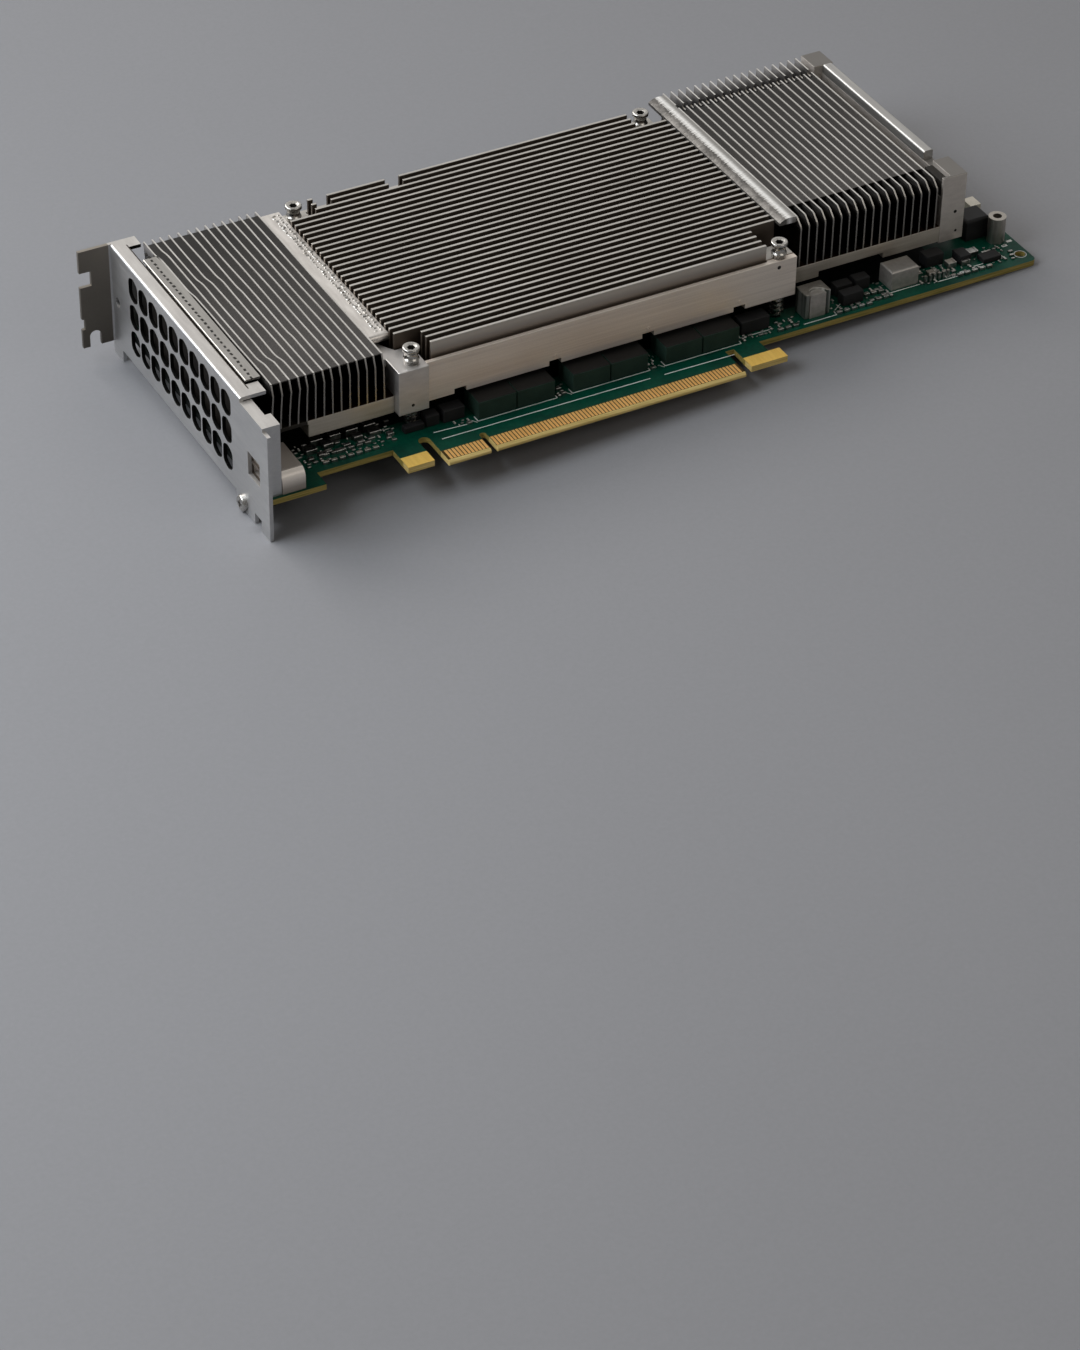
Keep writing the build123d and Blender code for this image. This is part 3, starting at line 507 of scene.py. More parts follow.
def module_finish():
    """Power modules: black mould, with a painted green reflection of the board on the sides."""
    material, tree, shader = new_material("module_black", gloss=0.2)
    grain = mottled(tree, 200.0, 2500.0)
    top = tone(tree, grain, (0.006, 0.0058, 0.0055), (0.011, 0.0108, 0.0102))
    # painted reflection: the board's green on the upright sides
    side = tone(tree, grain, (0.014, 0.031, 0.023), (0.024, 0.050, 0.038))
    upright = less(tree, faces(tree, "Z"), 0.6)
    coat(tree, shader, over(tree, upright, top, side), level(tree, grain, 0.5, 0.64), grain, 0.1, 0.0002)
    return material


def reflection_streak_finish():
    """Notched inductor: plated case whose upright faces are painted with dark and bright streaks as
    reflections.
    """
    material, tree, shader = new_material("reflection_streak_case", 0.8)
    blotch = mottled(tree, 180.0, 2200.0)
    streaks = brushed(tree, 330.0, 330.0, 14.0)
    top = tone(tree, blotch, (0.24, 0.225, 0.20), (0.40, 0.375, 0.335))
    # painted reflections: dark greenish and bright streaks on the upright faces
    side = tone(tree, streaks, (0.05, 0.062, 0.052), (0.86, 0.85, 0.79), 0.36, 0.64)
    upright = less(tree, faces(tree, "Z"), 0.4)
    coat(tree, shader, over(tree, upright, top, side), level(tree, blotch, 0.28, 0.42), blotch, 0.08)
    return material


def bracket_finish():
    """Plated sheet: pale faces, a painted highlight on the vent rims, painted shade on the punched edges in
    the vents and on the inner faces that face forward at the back, and an outward tab that is darker
    towards the bottom.
    """
    material, tree, shader = new_material("bracket_steel", 1.0)
    blotch = mottled(tree, 38.0, 2200.0)
    lines = brushed(tree, 900.0, 120.0, 1600.0)
    wear = blend(tree, 0.4, blotch, lines)
    colour = tone(tree, wear, (0.50, 0.50, 0.505), (0.62, 0.615, 0.61))
    place = axis_place(tree)
    facing = faces(tree, "X")
    vents = all_of(
        tree,
        more(tree, place["Y"], VENT_FRONT * MM),
        less(tree, place["Y"], VENT_BACK * MM),
        less(tree, place["Z"], VENT_TOP * MM),
        more(tree, place["Z"], VENT_BOTTOM * MM),
    )
    # painted highlight on the rims round the vents
    vent_rim_highlight = all_of(tree, vents, less(tree, facing, 0.94))
    colour = over(tree, vent_rim_highlight, colour, (0.92, 0.90, 0.87))
    normal = add(tree, "ShaderNodeNewGeometry").outputs["Normal"]
    outward = add(tree, "ShaderNodeSeparateXYZ", ("Vector", normal)).outputs
    # painted shade on the inner faces that face forward, behind the vents
    inner_forward_shade = all_of(
        tree,
        less(tree, outward["Y"], -0.7),
        more(tree, place["Y"], VENT_BACK * MM),
        more(tree, place["X"], from_bracket(FACE_INSIDE)),
    )
    colour = over(tree, inner_forward_shade, colour, (0.05, 0.045, 0.04))
    flat = more(tree, outward["Z"], 0.7)
    colour = over(tree, flat, colour, tone(tree, wear, (0.48, 0.46, 0.44), (0.62, 0.60, 0.575)))
    # painted shade on the punched edges inside the vents
    punched = all_of(tree, vents, less(tree, facing, 0.5))
    colour = over(tree, punched, colour, (0.022, 0.021, 0.020))
    tab = less(tree, place["X"], from_bracket(TAB_BACK))
    height = lit_depth(tree, TAB_DARK_TOP, TAB_DARK_REACH)
    tab_darkening = tone(tree, height, (0.065, 0.058, 0.048), (0.29, 0.262, 0.225), 0.0, 1.0)
    colour = over(tree, tab, colour, tab_darkening)
    coat(tree, shader, colour, level(tree, wear, 0.42, 0.56), wear, 0.05)
    return material


def board_finish():
    """Green solder mask with painted shade under the heat sink and on the cut edge behind the vents, and
    bare fibre on cut edges and under the contacts.
    """
    material, tree, shader = new_material("solder_mask", gloss=0.12)
    place = axis_place(tree)
    cut = less(tree, faces(tree, "Z"), 0.9)
    tongue = less(tree, place["Y"], BARE_FIBRE_END * MM)
    bare = math_node(tree, "MAXIMUM", cut, tongue)
    blotch = mottled(tree, 110.0, 900.0)
    green = tone(tree, blotch, (0.0004, 0.026, 0.017), (0.0006, 0.062, 0.036))
    fibre_grain = brushed(tree, 90.0, 900.0, 2600.0)
    olive = tone(tree, fibre_grain, (0.17, 0.15, 0.038), (0.38, 0.28, 0.088))
    straw = tone(tree, fibre_grain, (0.52, 0.38, 0.13), (0.72, 0.55, 0.22))
    fibre = over(tree, tongue, olive, straw)
    level_top = more(tree, faces(tree, "Z"), 0.98)
    between = all_of(tree, level_top, more(tree, place["Y"], CONTACT_FRONT * MM))
    fibre = over(tree, between, fibre, (0.060, 0.038, 0.012))
    colour = over(tree, bare, green, fibre)
    behind_front = more(tree, place["Y"], SHADED_FRONT * MM)
    # painted shade on the board under the heat sink
    sink_shade = all_of(
        tree,
        less(tree, place["X"], from_bracket(SHADED_REACH)),
        behind_front,
        less(tree, place["Y"], SHADED_BACK * MM),
        more(tree, place["Z"], SHADED_LOW * MM),
    )
    # painted shade on the board's cut edge behind the vents
    edge_shade = all_of(tree, less(tree, place["X"], from_bracket(SHADED_EDGE_REACH)), behind_front, cut)
    shaded = math_node(tree, "MAXIMUM", sink_shade, edge_shade)
    colour = over(tree, shaded, colour, (0.0015, 0.0025, 0.002))
    gloss = add(tree, "ShaderNodeMapRange", ("Value", bare), ("To Min", 0.36), ("To Max", 0.6))
    coat(tree, shader, colour, gloss.outputs["Result"], blotch, 0.12, 0.0003)
    return material


# each fin finish ends with its painted-shade colour for deep in the gaps
LEFT_FINS = fin_metal("left_fin_sheet", LEFT_FIN_TOP, (0.66, 0.625, 0.59), (0.016, 0.014, 0.012))
RIGHT_FINS = fin_metal("right_fin_sheet", RIGHT_FIN_TOP, (0.70, 0.67, 0.64), (0.034, 0.028, 0.022))
SKIVED = skived_finish()
CAST = metal(
    "block_aluminium",
    (0.56, 0.51, 0.465),
    (0.72, 0.665, 0.61),
    (0.36, 0.5),
    (300, 300, 900),
    bump=0.08,
    metallic=0.7,
    # painted shade on the block's upward faces
    top_shade=0.85,
)
CORNER = metal(
    "corner_aluminium",
    (0.52, 0.50, 0.485),
    (0.68, 0.655, 0.635),
    (0.34, 0.46),
    (300, 300, 900),
    bump=0.08,
    metallic=0.75,
)
RAIL = metal("rail_sheet", (0.40, 0.39, 0.375), (0.52, 0.51, 0.495), (0.42, 0.56), (1500, 60, 1500), 0.06)
LIP = metal("lip_sheet", (0.36, 0.345, 0.325), (0.46, 0.445, 0.42), (0.28, 0.42), (1500, 60, 1500), 0.06)
COVER = metal("cover_sheet", (0.60, 0.565, 0.53), (0.82, 0.785, 0.745), (0.32, 0.46), (900, 120, 900), 0.08)
RIDGE = ridge_finish()
BASE = base_finish()
FLANGE = flange_finish()
BRACKET = bracket_finish()
PLATED = metal("plated_steel", (0.40, 0.385, 0.36), (0.58, 0.56, 0.53), (0.2, 0.34), (1500, 1500, 400))
SHELL = shell_finish()
TAB_GRAIN = (1500, 120, 1500)
GOLD = metal("contact_gold", (0.78, 0.48, 0.085), (0.96, 0.65, 0.16), (0.34, 0.48), TAB_GRAIN, 0.05, 0.4)
COPPER = metal("contact_copper", (0.74, 0.40, 0.11), (0.98, 0.60, 0.21), (0.32, 0.46), TAB_GRAIN, 0.05, 0.5)
CASE = metal(
    "inductor_case",
    (0.36, 0.335, 0.305),
    (0.54, 0.505, 0.465),
    (0.34, 0.5),
    (700, 700, 900),
    bump=0.12,
    metallic=0.7,
    # painted shade on the inductors' upward faces
    top_shade=0.3,
)
REFLECTION_CASE = reflection_streak_finish()
POST = metal("post_plating", (0.34, 0.315, 0.28), (0.52, 0.49, 0.45), (0.34, 0.48), (1500, 1500, 400))
# painted shade: near-black colour for the lip's fold seen through the vents
SKIRT_SHADE = metal("skirt_shade_sheet", (0.012, 0.010, 0.008), (0.060, 0.050, 0.042), (0.4, 0.6), (60, 900, 40))
SOLDER = metal("solder_tin", (0.20, 0.20, 0.19), (0.56, 0.55, 0.53), (0.25, 0.4), (900, 900, 900))
MODULE = module_finish()
CHIP = plastic("chip_black", (0.008, 0.008, 0.0085), (0.018, 0.018, 0.0185), (0.5, 0.66), gloss=0.25)
INSULATOR = plastic("insulator_black", (0.010, 0.010, 0.010), (0.02, 0.02, 0.02), (0.5, 0.6))
PAD = plastic("thermal_grey", (0.22, 0.22, 0.23), (0.32, 0.32, 0.33), (0.6, 0.8))
PALE = plastic("connector_pale", (0.50, 0.47, 0.40), (0.66, 0.62, 0.54), (0.4, 0.55))
CERAMIC = plastic("capacitor_tan", (0.16, 0.10, 0.06), (0.30, 0.20, 0.13), (0.4, 0.55))
RESISTOR = plastic("resistor_brown", (0.09, 0.035, 0.022), (0.20, 0.09, 0.06), (0.4, 0.55))
INK = plastic("legend_white", (0.50, 0.52, 0.49), (0.72, 0.73, 0.70), (0.5, 0.65), gloss=0.2)
# painted shade: near-black fill standing for the depth of holes, slots and sockets
HOLE_SHADE = plastic("hole_shade_dark", (0.010, 0.009, 0.008), (0.024, 0.021, 0.018), (0.6, 0.8), gloss=0.2)
BOARD = board_finish()

FINISHES = {
    "circuit_board": BOARD,
    "edge_contacts": COPPER,
    "tab_plating": GOLD,
    "bracket": BRACKET,
    "bracket_block": PLATED,
    "bracket_screw": PLATED,
    "port_shell": SHELL,
    "port_insulator": INSULATOR,
    "center_sink": SKIVED,
    "left_base": BASE,
    "left_fins": LEFT_FINS,
    "left_lip": LIP,
    "cover_strip": COVER,
    "corner_block": CORNER,
    "right_base": BASE,
    "right_fins": RIGHT_FINS,
    "ridge_strip": RIDGE,
    "end_frame": CAST,
    "end_rail": RAIL,
    "spring_screws": PLATED,
    "screw_springs": PLATED,
    "screw_nuts": PLATED,
    "processor_carrier": BOARD,
    "processor_die": PLATED,
    "memory_stacks": CHIP,
    "thermal_layer": PAD,
    "power_modules": MODULE,
    "driver_chips": CHIP,
    "notched_inductor": REFLECTION_CASE,
    "inductor_core": CASE,
    "plain_inductor": CASE,
    "end_choke": CHIP,
    "end_post": POST,
    "end_connector": PALE,
    "pin_row": SOLDER,
    "chip_capacitors": CERAMIC,
}
for node_name, finish in FINISHES.items():
    slots = nodes[node_name].data.materials
    slots.clear()
    slots.append(finish)


def make_piece(name, bm, finishes, slot, *stands_for):
    """A mesh piece that rides with the card and may stand for solids of the frame."""
    mesh = bpy.data.meshes.new(name)
    bm.normal_update()
    bm.to_mesh(mesh)
    bm.free()
    for finish in finishes:
        mesh.materials.append(finish)
    piece = bpy.data.objects.new(name, mesh)
    scene.collection.objects.link(piece)
    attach(piece, "root")
    if stands_for:
        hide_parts(*stands_for)


def welded(node):
    """A bmesh of a solid with its corners joined and its flat faces whole."""
    bm = bmesh.new()
    bm.from_mesh(nodes[node].data)
    bmesh.ops.remove_doubles(bm, verts=bm.verts, dist=1e-6)
    bmesh.ops.dissolve_limit(bm, angle_limit=0.002, verts=bm.verts, edges=bm.edges)
    return bm


def worn_copy(node, slot, radius):
    """A solid with its sharp edges rounded by wear, in place of the frame's own."""
    bm = welded(node)
    sharp = [edge for edge in bm.edges if edge.is_manifold and edge.calc_face_angle() > 0.6]
    settings = {"segments": 2, "profile": 0.5, "affect": "EDGES", "clamp_overlap": True}
    bmesh.ops.bevel(bm, geom=sharp, offset=radius * MM, **settings)
    make_piece(f"worn_{node}", bm, [FINISHES[node]], slot, node)


def solids_of(node):
    """Lowest and highest corners of each separate solid of a node, in mm from the bracket's face."""
    bm = welded(node)
    waiting = set(bm.verts)
    boxes = []
    while waiting:
        group = [waiting.pop()]
        for vert in group:
            for edge in vert.link_edges:
                other = edge.other_vert(vert)
                if other in waiting:
                    waiting.remove(other)
                    group.append(other)
        low = [min(vert.co[axis] for vert in group) / MM for axis in range(3)]
        high = [max(vert.co[axis] for vert in group) / MM for axis in range(3)]
        low[0] += KEY_TO_BRACKET
        high[0] += KEY_TO_BRACKET
        boxes.append((low, high))
    bm.free()
    return sorted(boxes)


def mark_new(bm, finish_number):
    """Give the faces made since the last call one of the piece's finishes."""
    for face in bm.faces:
        if not face.tag:
            face.tag = True
            face.material_index = finish_number


def block(bm, low, high, edge=0.1, finish_number=0, turn=0.0):
    """A box with rounded edges between two corners, turned about its own upright axis."""
    verts = bmesh.ops.create_cube(bm, size=1.0)["verts"]
    middle = (spot(*low) + spot(*high)) / 2
    size = spot(*high) - spot(*low)
    spin = Matrix.Rotation(math.radians(turn), 3, "Z")
    for vert in verts:
        vert.co = middle + spin @ Vector([vert.co[axis] * size[axis] for axis in range(3)])
    edges = list({link for vert in verts for link in vert.link_edges})
    bmesh.ops.bevel(bm, geom=edges, offset=edge * MM, segments=1, affect="EDGES", clamp_overlap=True)
    mark_new(bm, finish_number)


def chip_part(bm, x, y, length, width, height, body, turn=0.0):
    """A surface-mount part standing on the board: a body between two tinned ends."""
    cap = length * 0.22
    spin = math.radians(turn)
    low = (x - length / 2 + cap, y - width / 2, 0.02)
    high = (x + length / 2 - cap, y + width / 2, height)
    block(bm, low, high, 0.06, body, turn)
    for side in (-1, 1):
        reach = side * (length - cap) / 2
        end_x = x + reach * math.cos(spin)
        end_y = y + reach * math.sin(spin)
        low = (end_x - cap / 2, end_y - width * 0.53, 0.0)
        high = (end_x + cap / 2, end_y + width * 0.53, height * 1.04)
        block(bm, low, high, 0.08, 1, turn)


def stroke(bm, points, width=0.28, height=0.03):
    """A printed line on the board through the given points."""
    for start, end in zip(points, points[1:]):
        a = spot(*start, 0.0)
        b = spot(*end, 0.0)
        side = (b - a).cross(Vector((0, 0, 1))).normalized() * width * MM / 2
        rise = Vector((0, 0, height * MM))
        foot = [bm.verts.new(corner) for corner in (a - side, a + side, b + side, b - side)]
        head = [bm.verts.new(vert.co + rise) for vert in foot]
        bm.faces.new(head[::-1])
        bm.faces.new(foot)
        for index in range(4):
            bm.faces.new((foot[index - 1], foot[index], head[index], head[index - 1]))
    bmesh.ops.recalc_face_normals(bm, faces=bm.faces)


def disc(bm, middle, axis, radius, rise, inner=0.0, sides=20):
    """A low round plate, or a ring, standing on a surface that faces along the axis."""
    axis = Vector(axis).normalized()
    first = axis.orthogonal().normalized()
    second = axis.cross(first)
    centre = spot(*middle)
    rings = []
    outline = ((radius, 0.0), (radius, rise * 0.6), (radius * 0.9, rise), (inner, rise), (inner, 0.0))
    for reach, lift in outline:
        if reach <= 0:
            continue
        ring = []
        for index in range(sides):
            angle = 2 * math.pi * index / sides
            out = first * math.cos(angle) + second * math.sin(angle)
            ring.append(bm.verts.new(centre + (out * reach + axis * lift) * MM))
        rings.append(ring)
    for below, above in zip(rings, rings[1:]):
        for index in range(sides):
            bm.faces.new((below[index - 1], below[index], above[index], above[index - 1]))
    if inner > 0:
        for index in range(sides):
            bm.faces.new((rings[-1][index - 1], rings[-1][index], rings[0][index], rings[0][index - 1]))
    else:
        bm.faces.new(rings[-1])
        bm.faces.new(rings[0][::-1])
    bmesh.ops.recalc_face_normals(bm, faces=bm.faces)


# Steps in the top edges of the left fins, bent in handling: distance from the contact edge, and shift
FIN_STEPS = {
    0: ((84.8, 0.55), (65.5, 0.45)),
    1: ((86.0, 0.5), (30.2, 0.7)),
    2: ((69.7, 0.6), (30.2, 1.0)),
    3: ((69.2, 0.6), (29.6, 0.8)),
    4: ((68.8, 0.5), (46.0, 0.3)),
    5: ((62.0, 0.3),),
    6: ((38.0, 0.3),),
}
FIN_WANDER = 0.22
STEP_SHARPNESS = 1.6


def fin_lean(index, y):
    """How far a left fin's top edge stands from its foot at a distance from the contact edge."""
    lean = noise.noise(Vector((index * 3.7, y * 0.05, 0.4))) * FIN_WANDER
    for place, shift in FIN_STEPS.get(index, ()):
        lean += shift * (0.5 - 1 / (1 + math.exp(-(place - y) * STEP_SHARPNESS))) * -1
    return lean


def make_left_fins():
    """Thin fins whose top edges wander and are bent in a few places."""
    bm = bmesh.new()
    pitch = (LEFT_FIN_LAST - LEFT_FIN_FIRST) / (LEFT_FIN_COUNT - 1)
    bend_end = LEFT_FIN_FRONT + LEFT_BEND[0]
    columns = [LEFT_FIN_FRONT + LEFT_BEND[0] * step / 3 for step in range(3)]
    rest = (LEFT_FIN_BACK - bend_end) / LEFT_FIN_COLUMNS
    columns += [bend_end + rest * step for step in range(LEFT_FIN_COLUMNS + 1)]
    for index in range(LEFT_FIN_COUNT):
        foot_x = LEFT_FIN_FIRST + index * pitch
        sheets = []
        for side in (-0.5, 0.5):
            grid = []
            for y in columns:
                top = LEFT_FIN_TOP - LEFT_BEND[1] * max(0.0, bend_end - y) / LEFT_BEND[0]
                column = []
                for step in range(LEFT_FIN_ROWS + 1):
                    share = step / LEFT_FIN_ROWS
                    z = LEFT_FIN_BASE + (top - LEFT_FIN_BASE) * share
                    x = foot_x + side * LEFT_FIN_THICK + fin_lean(index, y) * share**1.5
                    column.append(bm.verts.new(spot(x, y, z)))
                grid.append(column)
            sheets.append(grid)
        left, right = sheets
        for grid in sheets:
            for near, far in zip(grid, grid[1:]):
                for step in range(LEFT_FIN_ROWS):
                    bm.faces.new((near[step], near[step + 1], far[step + 1], far[step]))
        for near in range(len(columns) - 1):
            for row in (0, LEFT_FIN_ROWS):
                bm.faces.new((left[near][row], right[near][row], right[near + 1][row], left[near + 1][row]))
        for end in (0, -1):
            for step in range(LEFT_FIN_ROWS):
                bm.faces.new((left[end][step], right[end][step], right[end][step + 1], left[end][step + 1]))
    bmesh.ops.recalc_face_normals(bm, faces=bm.faces)
    make_piece("bent_left_fins", bm, [LEFT_FINS], "heat_sink", "left_fins")


def make_right_fins():
    """Thin sheets with a chamfered front bend and a groove near the back."""
    bm = bmesh.new()
    for low, high in solids_of("right_fins"):
        front = low[1]
        groove = high[1] - GROOVE_INSET
        outline = [
            (front, low[2]),
            (front, RIGHT_FIN_TOP - RIGHT_BEND[1] - 0.3),
            (front + 0.25, RIGHT_FIN_TOP - RIGHT_BEND[1] + 0.25),
            (front + RIGHT_BEND[0] - 0.25, RIGHT_FIN_TOP - 0.2),
            (front + RIGHT_BEND[0] + 0.3, RIGHT_FIN_TOP),
            (groove, RIGHT_FIN_TOP),
            (groove, RIGHT_FIN_TOP - GROOVE_DEPTH),
            (groove + GROOVE_WIDTH, RIGHT_FIN_TOP - GROOVE_DEPTH),
            (groove + GROOVE_WIDTH, RIGHT_FIN_TOP),
            (high[1], RIGHT_FIN_TOP),
            (high[1], low[2]),
        ]
        middle = (low[0] + high[0]) / 2
        left = [bm.verts.new(spot(middle - RIGHT_FIN_THICK / 2, y, z)) for y, z in outline]
        right = [bm.verts.new(spot(middle + RIGHT_FIN_THICK / 2, y, z)) for y, z in outline]
        bm.faces.new(left)
        bm.faces.new(right[::-1])
        for index in range(len(outline)):
            bm.faces.new((left[index - 1], left[index], right[index], right[index - 1]))
    bmesh.ops.recalc_face_normals(bm, faces=bm.faces)
    make_piece("thin_right_fins", bm, [RIGHT_FINS], "heat_sink", "right_fins")


# Outline of a spring screw above its seat: radius and depth below the top of the head
SCREW_HEAD = ((1.25, 0.22), (1.6, 0.06), (2.0, 0.0), (2.2, 0.18), (2.25, 0.42), (2.25, 0.95), (1.75, 1.12))
SCREW_BARREL = ((1.72, 3.1), (2.05, 3.2), (2.1, 3.35), (2.1, 3.55), (1.9, 3.68), (1.9, 4.7), (1.2, 4.7))
SOCKET_ACROSS = 0.95
SOCKET_DEPTH = 1.4
SCREW_SIDES = 36


def make_screws():
    """Spring screws, each turned in one piece, with a dished head and a six-sided socket in painted shade.
    """
    bm = bmesh.new()
    for low, high in solids_of("spring_screws"):
        x = (low[0] + high[0]) / 2
        y = (low[1] + high[1]) / 2
        rings = []
        socket = (("socket", SOCKET_DEPTH), ("socket", 0.3))
        outline = [*socket, *SCREW_HEAD, *SCREW_BARREL, (1.2, high[2] - low[2])]
        for reach, drop in outline:
            ring = []
            for index in range(SCREW_SIDES):
                angle = 2 * math.pi * index / SCREW_SIDES
                from_flat = (angle + math.pi / 6) % (math.pi / 3) - math.pi / 6
                radius = SOCKET_ACROSS / math.cos(from_flat) if reach == "socket" else reach
                place = spot(x + radius * math.cos(angle), y + radius * math.sin(angle), high[2] - drop)
                ring.append(bm.verts.new(place))
            rings.append(ring)
        for number, (inner, outer) in enumerate(zip(rings, rings[1:])):
            for index in range(SCREW_SIDES):
                face = bm.faces.new((inner[index - 1], inner[index], outer[index], outer[index - 1]))
                # the socket faces take the painted shade finish
                face.material_index = 1 if number == 0 else 0
                face.smooth = number > 1
        floor = bm.faces.new(rings[0])
        floor.material_index = 1
        bm.faces.new(rings[-1])
    bmesh.ops.recalc_face_normals(bm, faces=bm.faces)
    make_piece("turned_screws", bm, [PLATED, HOLE_SHADE], "screw_steel", "spring_screws")


def make_block_slot():
    """Painted shade at the bottom of the slot in the top of the end block."""
    bm = bmesh.new()
    block(bm, *END_BLOCK_SLOT)
    make_piece("block_slot", bm, [HOLE_SHADE], "heat_sink")


def strip(bm, near, far, top, thick):
    """A closed thin sheet between two rows of places, in mm from the bracket and the contacts."""
    rows = []
    for (x0, y0), (x1, y1) in zip(near, far):
        corners = ((x0, y0, top), (x1, y1, top), (x1, y1, top - thick), (x0, y0, top - thick))
        rows.append([bm.verts.new(spot(*corner)) for corner in corners])
    for row, following in zip(rows, rows[1:]):
        for index in range(4):
            bm.faces.new((row[index - 1], row[index], following[index], following[index - 1]))
    bm.faces.new(rows[0])
    bm.faces.new(rows[-1][::-1])


def make_flanges():
    """Folded flanges that close the gaps at the top of the thin fins, behind the bend."""
    bm = bmesh.new()
    pitch = (LEFT_FIN_LAST - LEFT_FIN_FIRST) / (LEFT_FIN_COUNT - 1)
    reach = (LEFT_FLANGE_BACK - LEFT_FLANGE_FRONT) / LEFT_FIN_COLUMNS
    places = [LEFT_FLANGE_FRONT + reach * step for step in range(LEFT_FIN_COLUMNS + 1)]
    for index in range(LEFT_FIN_COUNT - 1):
        start = LEFT_FIN_FIRST + index * pitch
        near = [(start + FLANGE_INSET + fin_lean(index, y), y) for y in places]
        far = [(start + pitch - FLANGE_INSET + fin_lean(index + 1, y), y) for y in places]
        strip(bm, near, far, LEFT_FIN_TOP - FLANGE_DROP, FLANGE_THICK)
    bmesh.ops.recalc_face_normals(bm, faces=bm.faces)
    make_piece("left_flanges", bm, [FLANGE], "heat_sink")
    bm = bmesh.new()
    fins = solids_of("right_fins")
    for (low, high), (next_low, next_high) in zip(fins, fins[1:]):
        x0 = (low[0] + high[0]) / 2 + FLANGE_INSET
        x1 = (next_low[0] + next_high[0]) / 2 - FLANGE_INSET
        near = [(x0, RIGHT_FLANGE_FRONT), (x0, RIGHT_FLANGE_BACK)]
        far = [(x1, RIGHT_FLANGE_FRONT), (x1, RIGHT_FLANGE_BACK)]
        strip(bm, near, far, RIGHT_FIN_TOP - FLANGE_DROP, FLANGE_THICK)
    bmesh.ops.recalc_face_normals(bm, faces=bm.faces)
    make_piece("right_flanges", bm, [FLANGE], "heat_sink")


def make_lip_skirt():
    """Fold of the edge lip that hangs down beside the first fin, seen through the vents; its near-black
    colour is painted shade.
    """
    bm = bmesh.new()
    low = (SKIRT_NEAR, VENT_FRONT, SKIRT_FOOT)
    high = (SKIRT_FAR, SKIRT_BACK, LIP_TOP - SKIRT_DROP)
    block(bm, low, high, 0.08)
    make_piece("lip_skirt_shade", bm, [SKIRT_SHADE], "heat_sink")


def make_lip_slots():
    """Row of small punched slots along the edge lip, drawn as marks in painted shade."""
    bm = bmesh.new()
    for index in range(LIP_SLOT_COUNT):
        y = LIP_SLOT_FRONT + index * LIP_SLOT_PITCH + chance.uniform(-0.15, 0.15)
        width = chance.uniform(0.7, 0.95)
        low = (LIP_SLOT_NEAR, y, LIP_TOP - 0.2)
        high = (LIP_SLOT_NEAR + width, y + LIP_SLOT_LENGTH, LIP_TOP + 0.015)
        block(bm, low, high, 0.1, 0, chance.uniform(-12, 12))
    make_piece("lip_slots", bm, [HOLE_SHADE], "heat_sink")


def make_cover_band():
    """Toothed band along the cover strip, beside the centre fins."""
    bm = bmesh.new()
    for index in range(BAND_COUNT):
        y = BAND_FRONT + index * BAND_PITCH
        for start in BAND_ROWS:
            x = start + chance.uniform(-0.2, 0.2)
            low = (x, y + chance.uniform(0.0, 0.3), COVER_TOP - 0.1)
            far_x = x + chance.uniform(0.5, 1.1)
            far_y = y + chance.uniform(0.65, 1.1)
            high = (far_x, far_y, COVER_TOP + chance.uniform(0.08, 0.3))
            block(bm, low, high, 0.12, chance.choice((0, 1)), chance.uniform(-25, 25))
    make_piece("cover_band", bm, [COVER, LIP], "heat_sink")


# Printed lines on the board, through places given from the bracket's face and the contact edge
LEGEND_LINES = (
    ((50.4, 9.5), (109.8, 9.0)),
    ((113.9, 8.9), (134.4, 8.6)),
    ((49.8, 12.9), (58.9, 12.3)),
    ((139.6, 17.0), (139.6, 14.4), (149.4, 14.4)),
    ((157.6, 12.4), (167.6, 12.4), (167.6, 14.0)),
    ((184.6, 14.8), (195.6, 14.8)),
    ((198.4, 13.6), (205.8, 13.6)),
    ((212.2, 15.6), (221.6, 15.6), (221.6, 18.0)),
    ((37.6, 19.6), (41.2, 19.6)),
)
LEGEND_TICK = ((168.2, 14.4), (172.6, 17.4))
MODULE_FRAMES = (62.0, 89.0, 116.0)
WHITE_PADS = ((203.4, 14.8), (208.0, 14.6), (225.0, 20.4), (227.4, 21.8))


def make_legend():
    """Printed white lines round the parts along the front of the board."""
    bm = bmesh.new()
    for points in LEGEND_LINES:
        stroke(bm, points)
    for start in MODULE_FRAMES:
        stroke(bm, [(start, 14.5), (start, 12.25), (start + 22.6, 12.25), (start + 22.6, 13.4)])
        stroke(bm, [(start - 1.3, 13.2), (start - 0.4, 11.9)], 0.22)
    stroke(bm, LEGEND_TICK, 0.22)
    for x, y in WHITE_PADS:
        stroke(bm, [(x - 0.8, y), (x + 0.8, y)], 0.9)
    make_piece("board_legend", bm, [INK], "light_plastic")


# Pieces on the board that the fine parts keep clear of
STANDING_NODES = (
    "chip_capacitors",
    "driver_chips",
    "port_shell",
    "power_modules",
    "notched_inductor",
    "plain_inductor",
    "end_choke",
    "end_post",
    "pin_row",
    "screw_springs",
)
# Fields of fine parts: their two sides, front and back, and how many parts are tried there
PART_FIELDS = (
    (15.0, 41.5, 13.4, 23.0, 210),
    (56.0, 61.4, 11.6, 15.0, 14),
    (85.0, 88.4, 12.6, 19.0, 14),
    (112.0, 115.6, 12.2, 19.0, 14),
    (138.9, 157.0, 12.4, 16.6, 90),
    (166.5, 186.0, 13.6, 21.0, 170),
    (195.0, 225.0, 13.8, 22.0, 220),
)
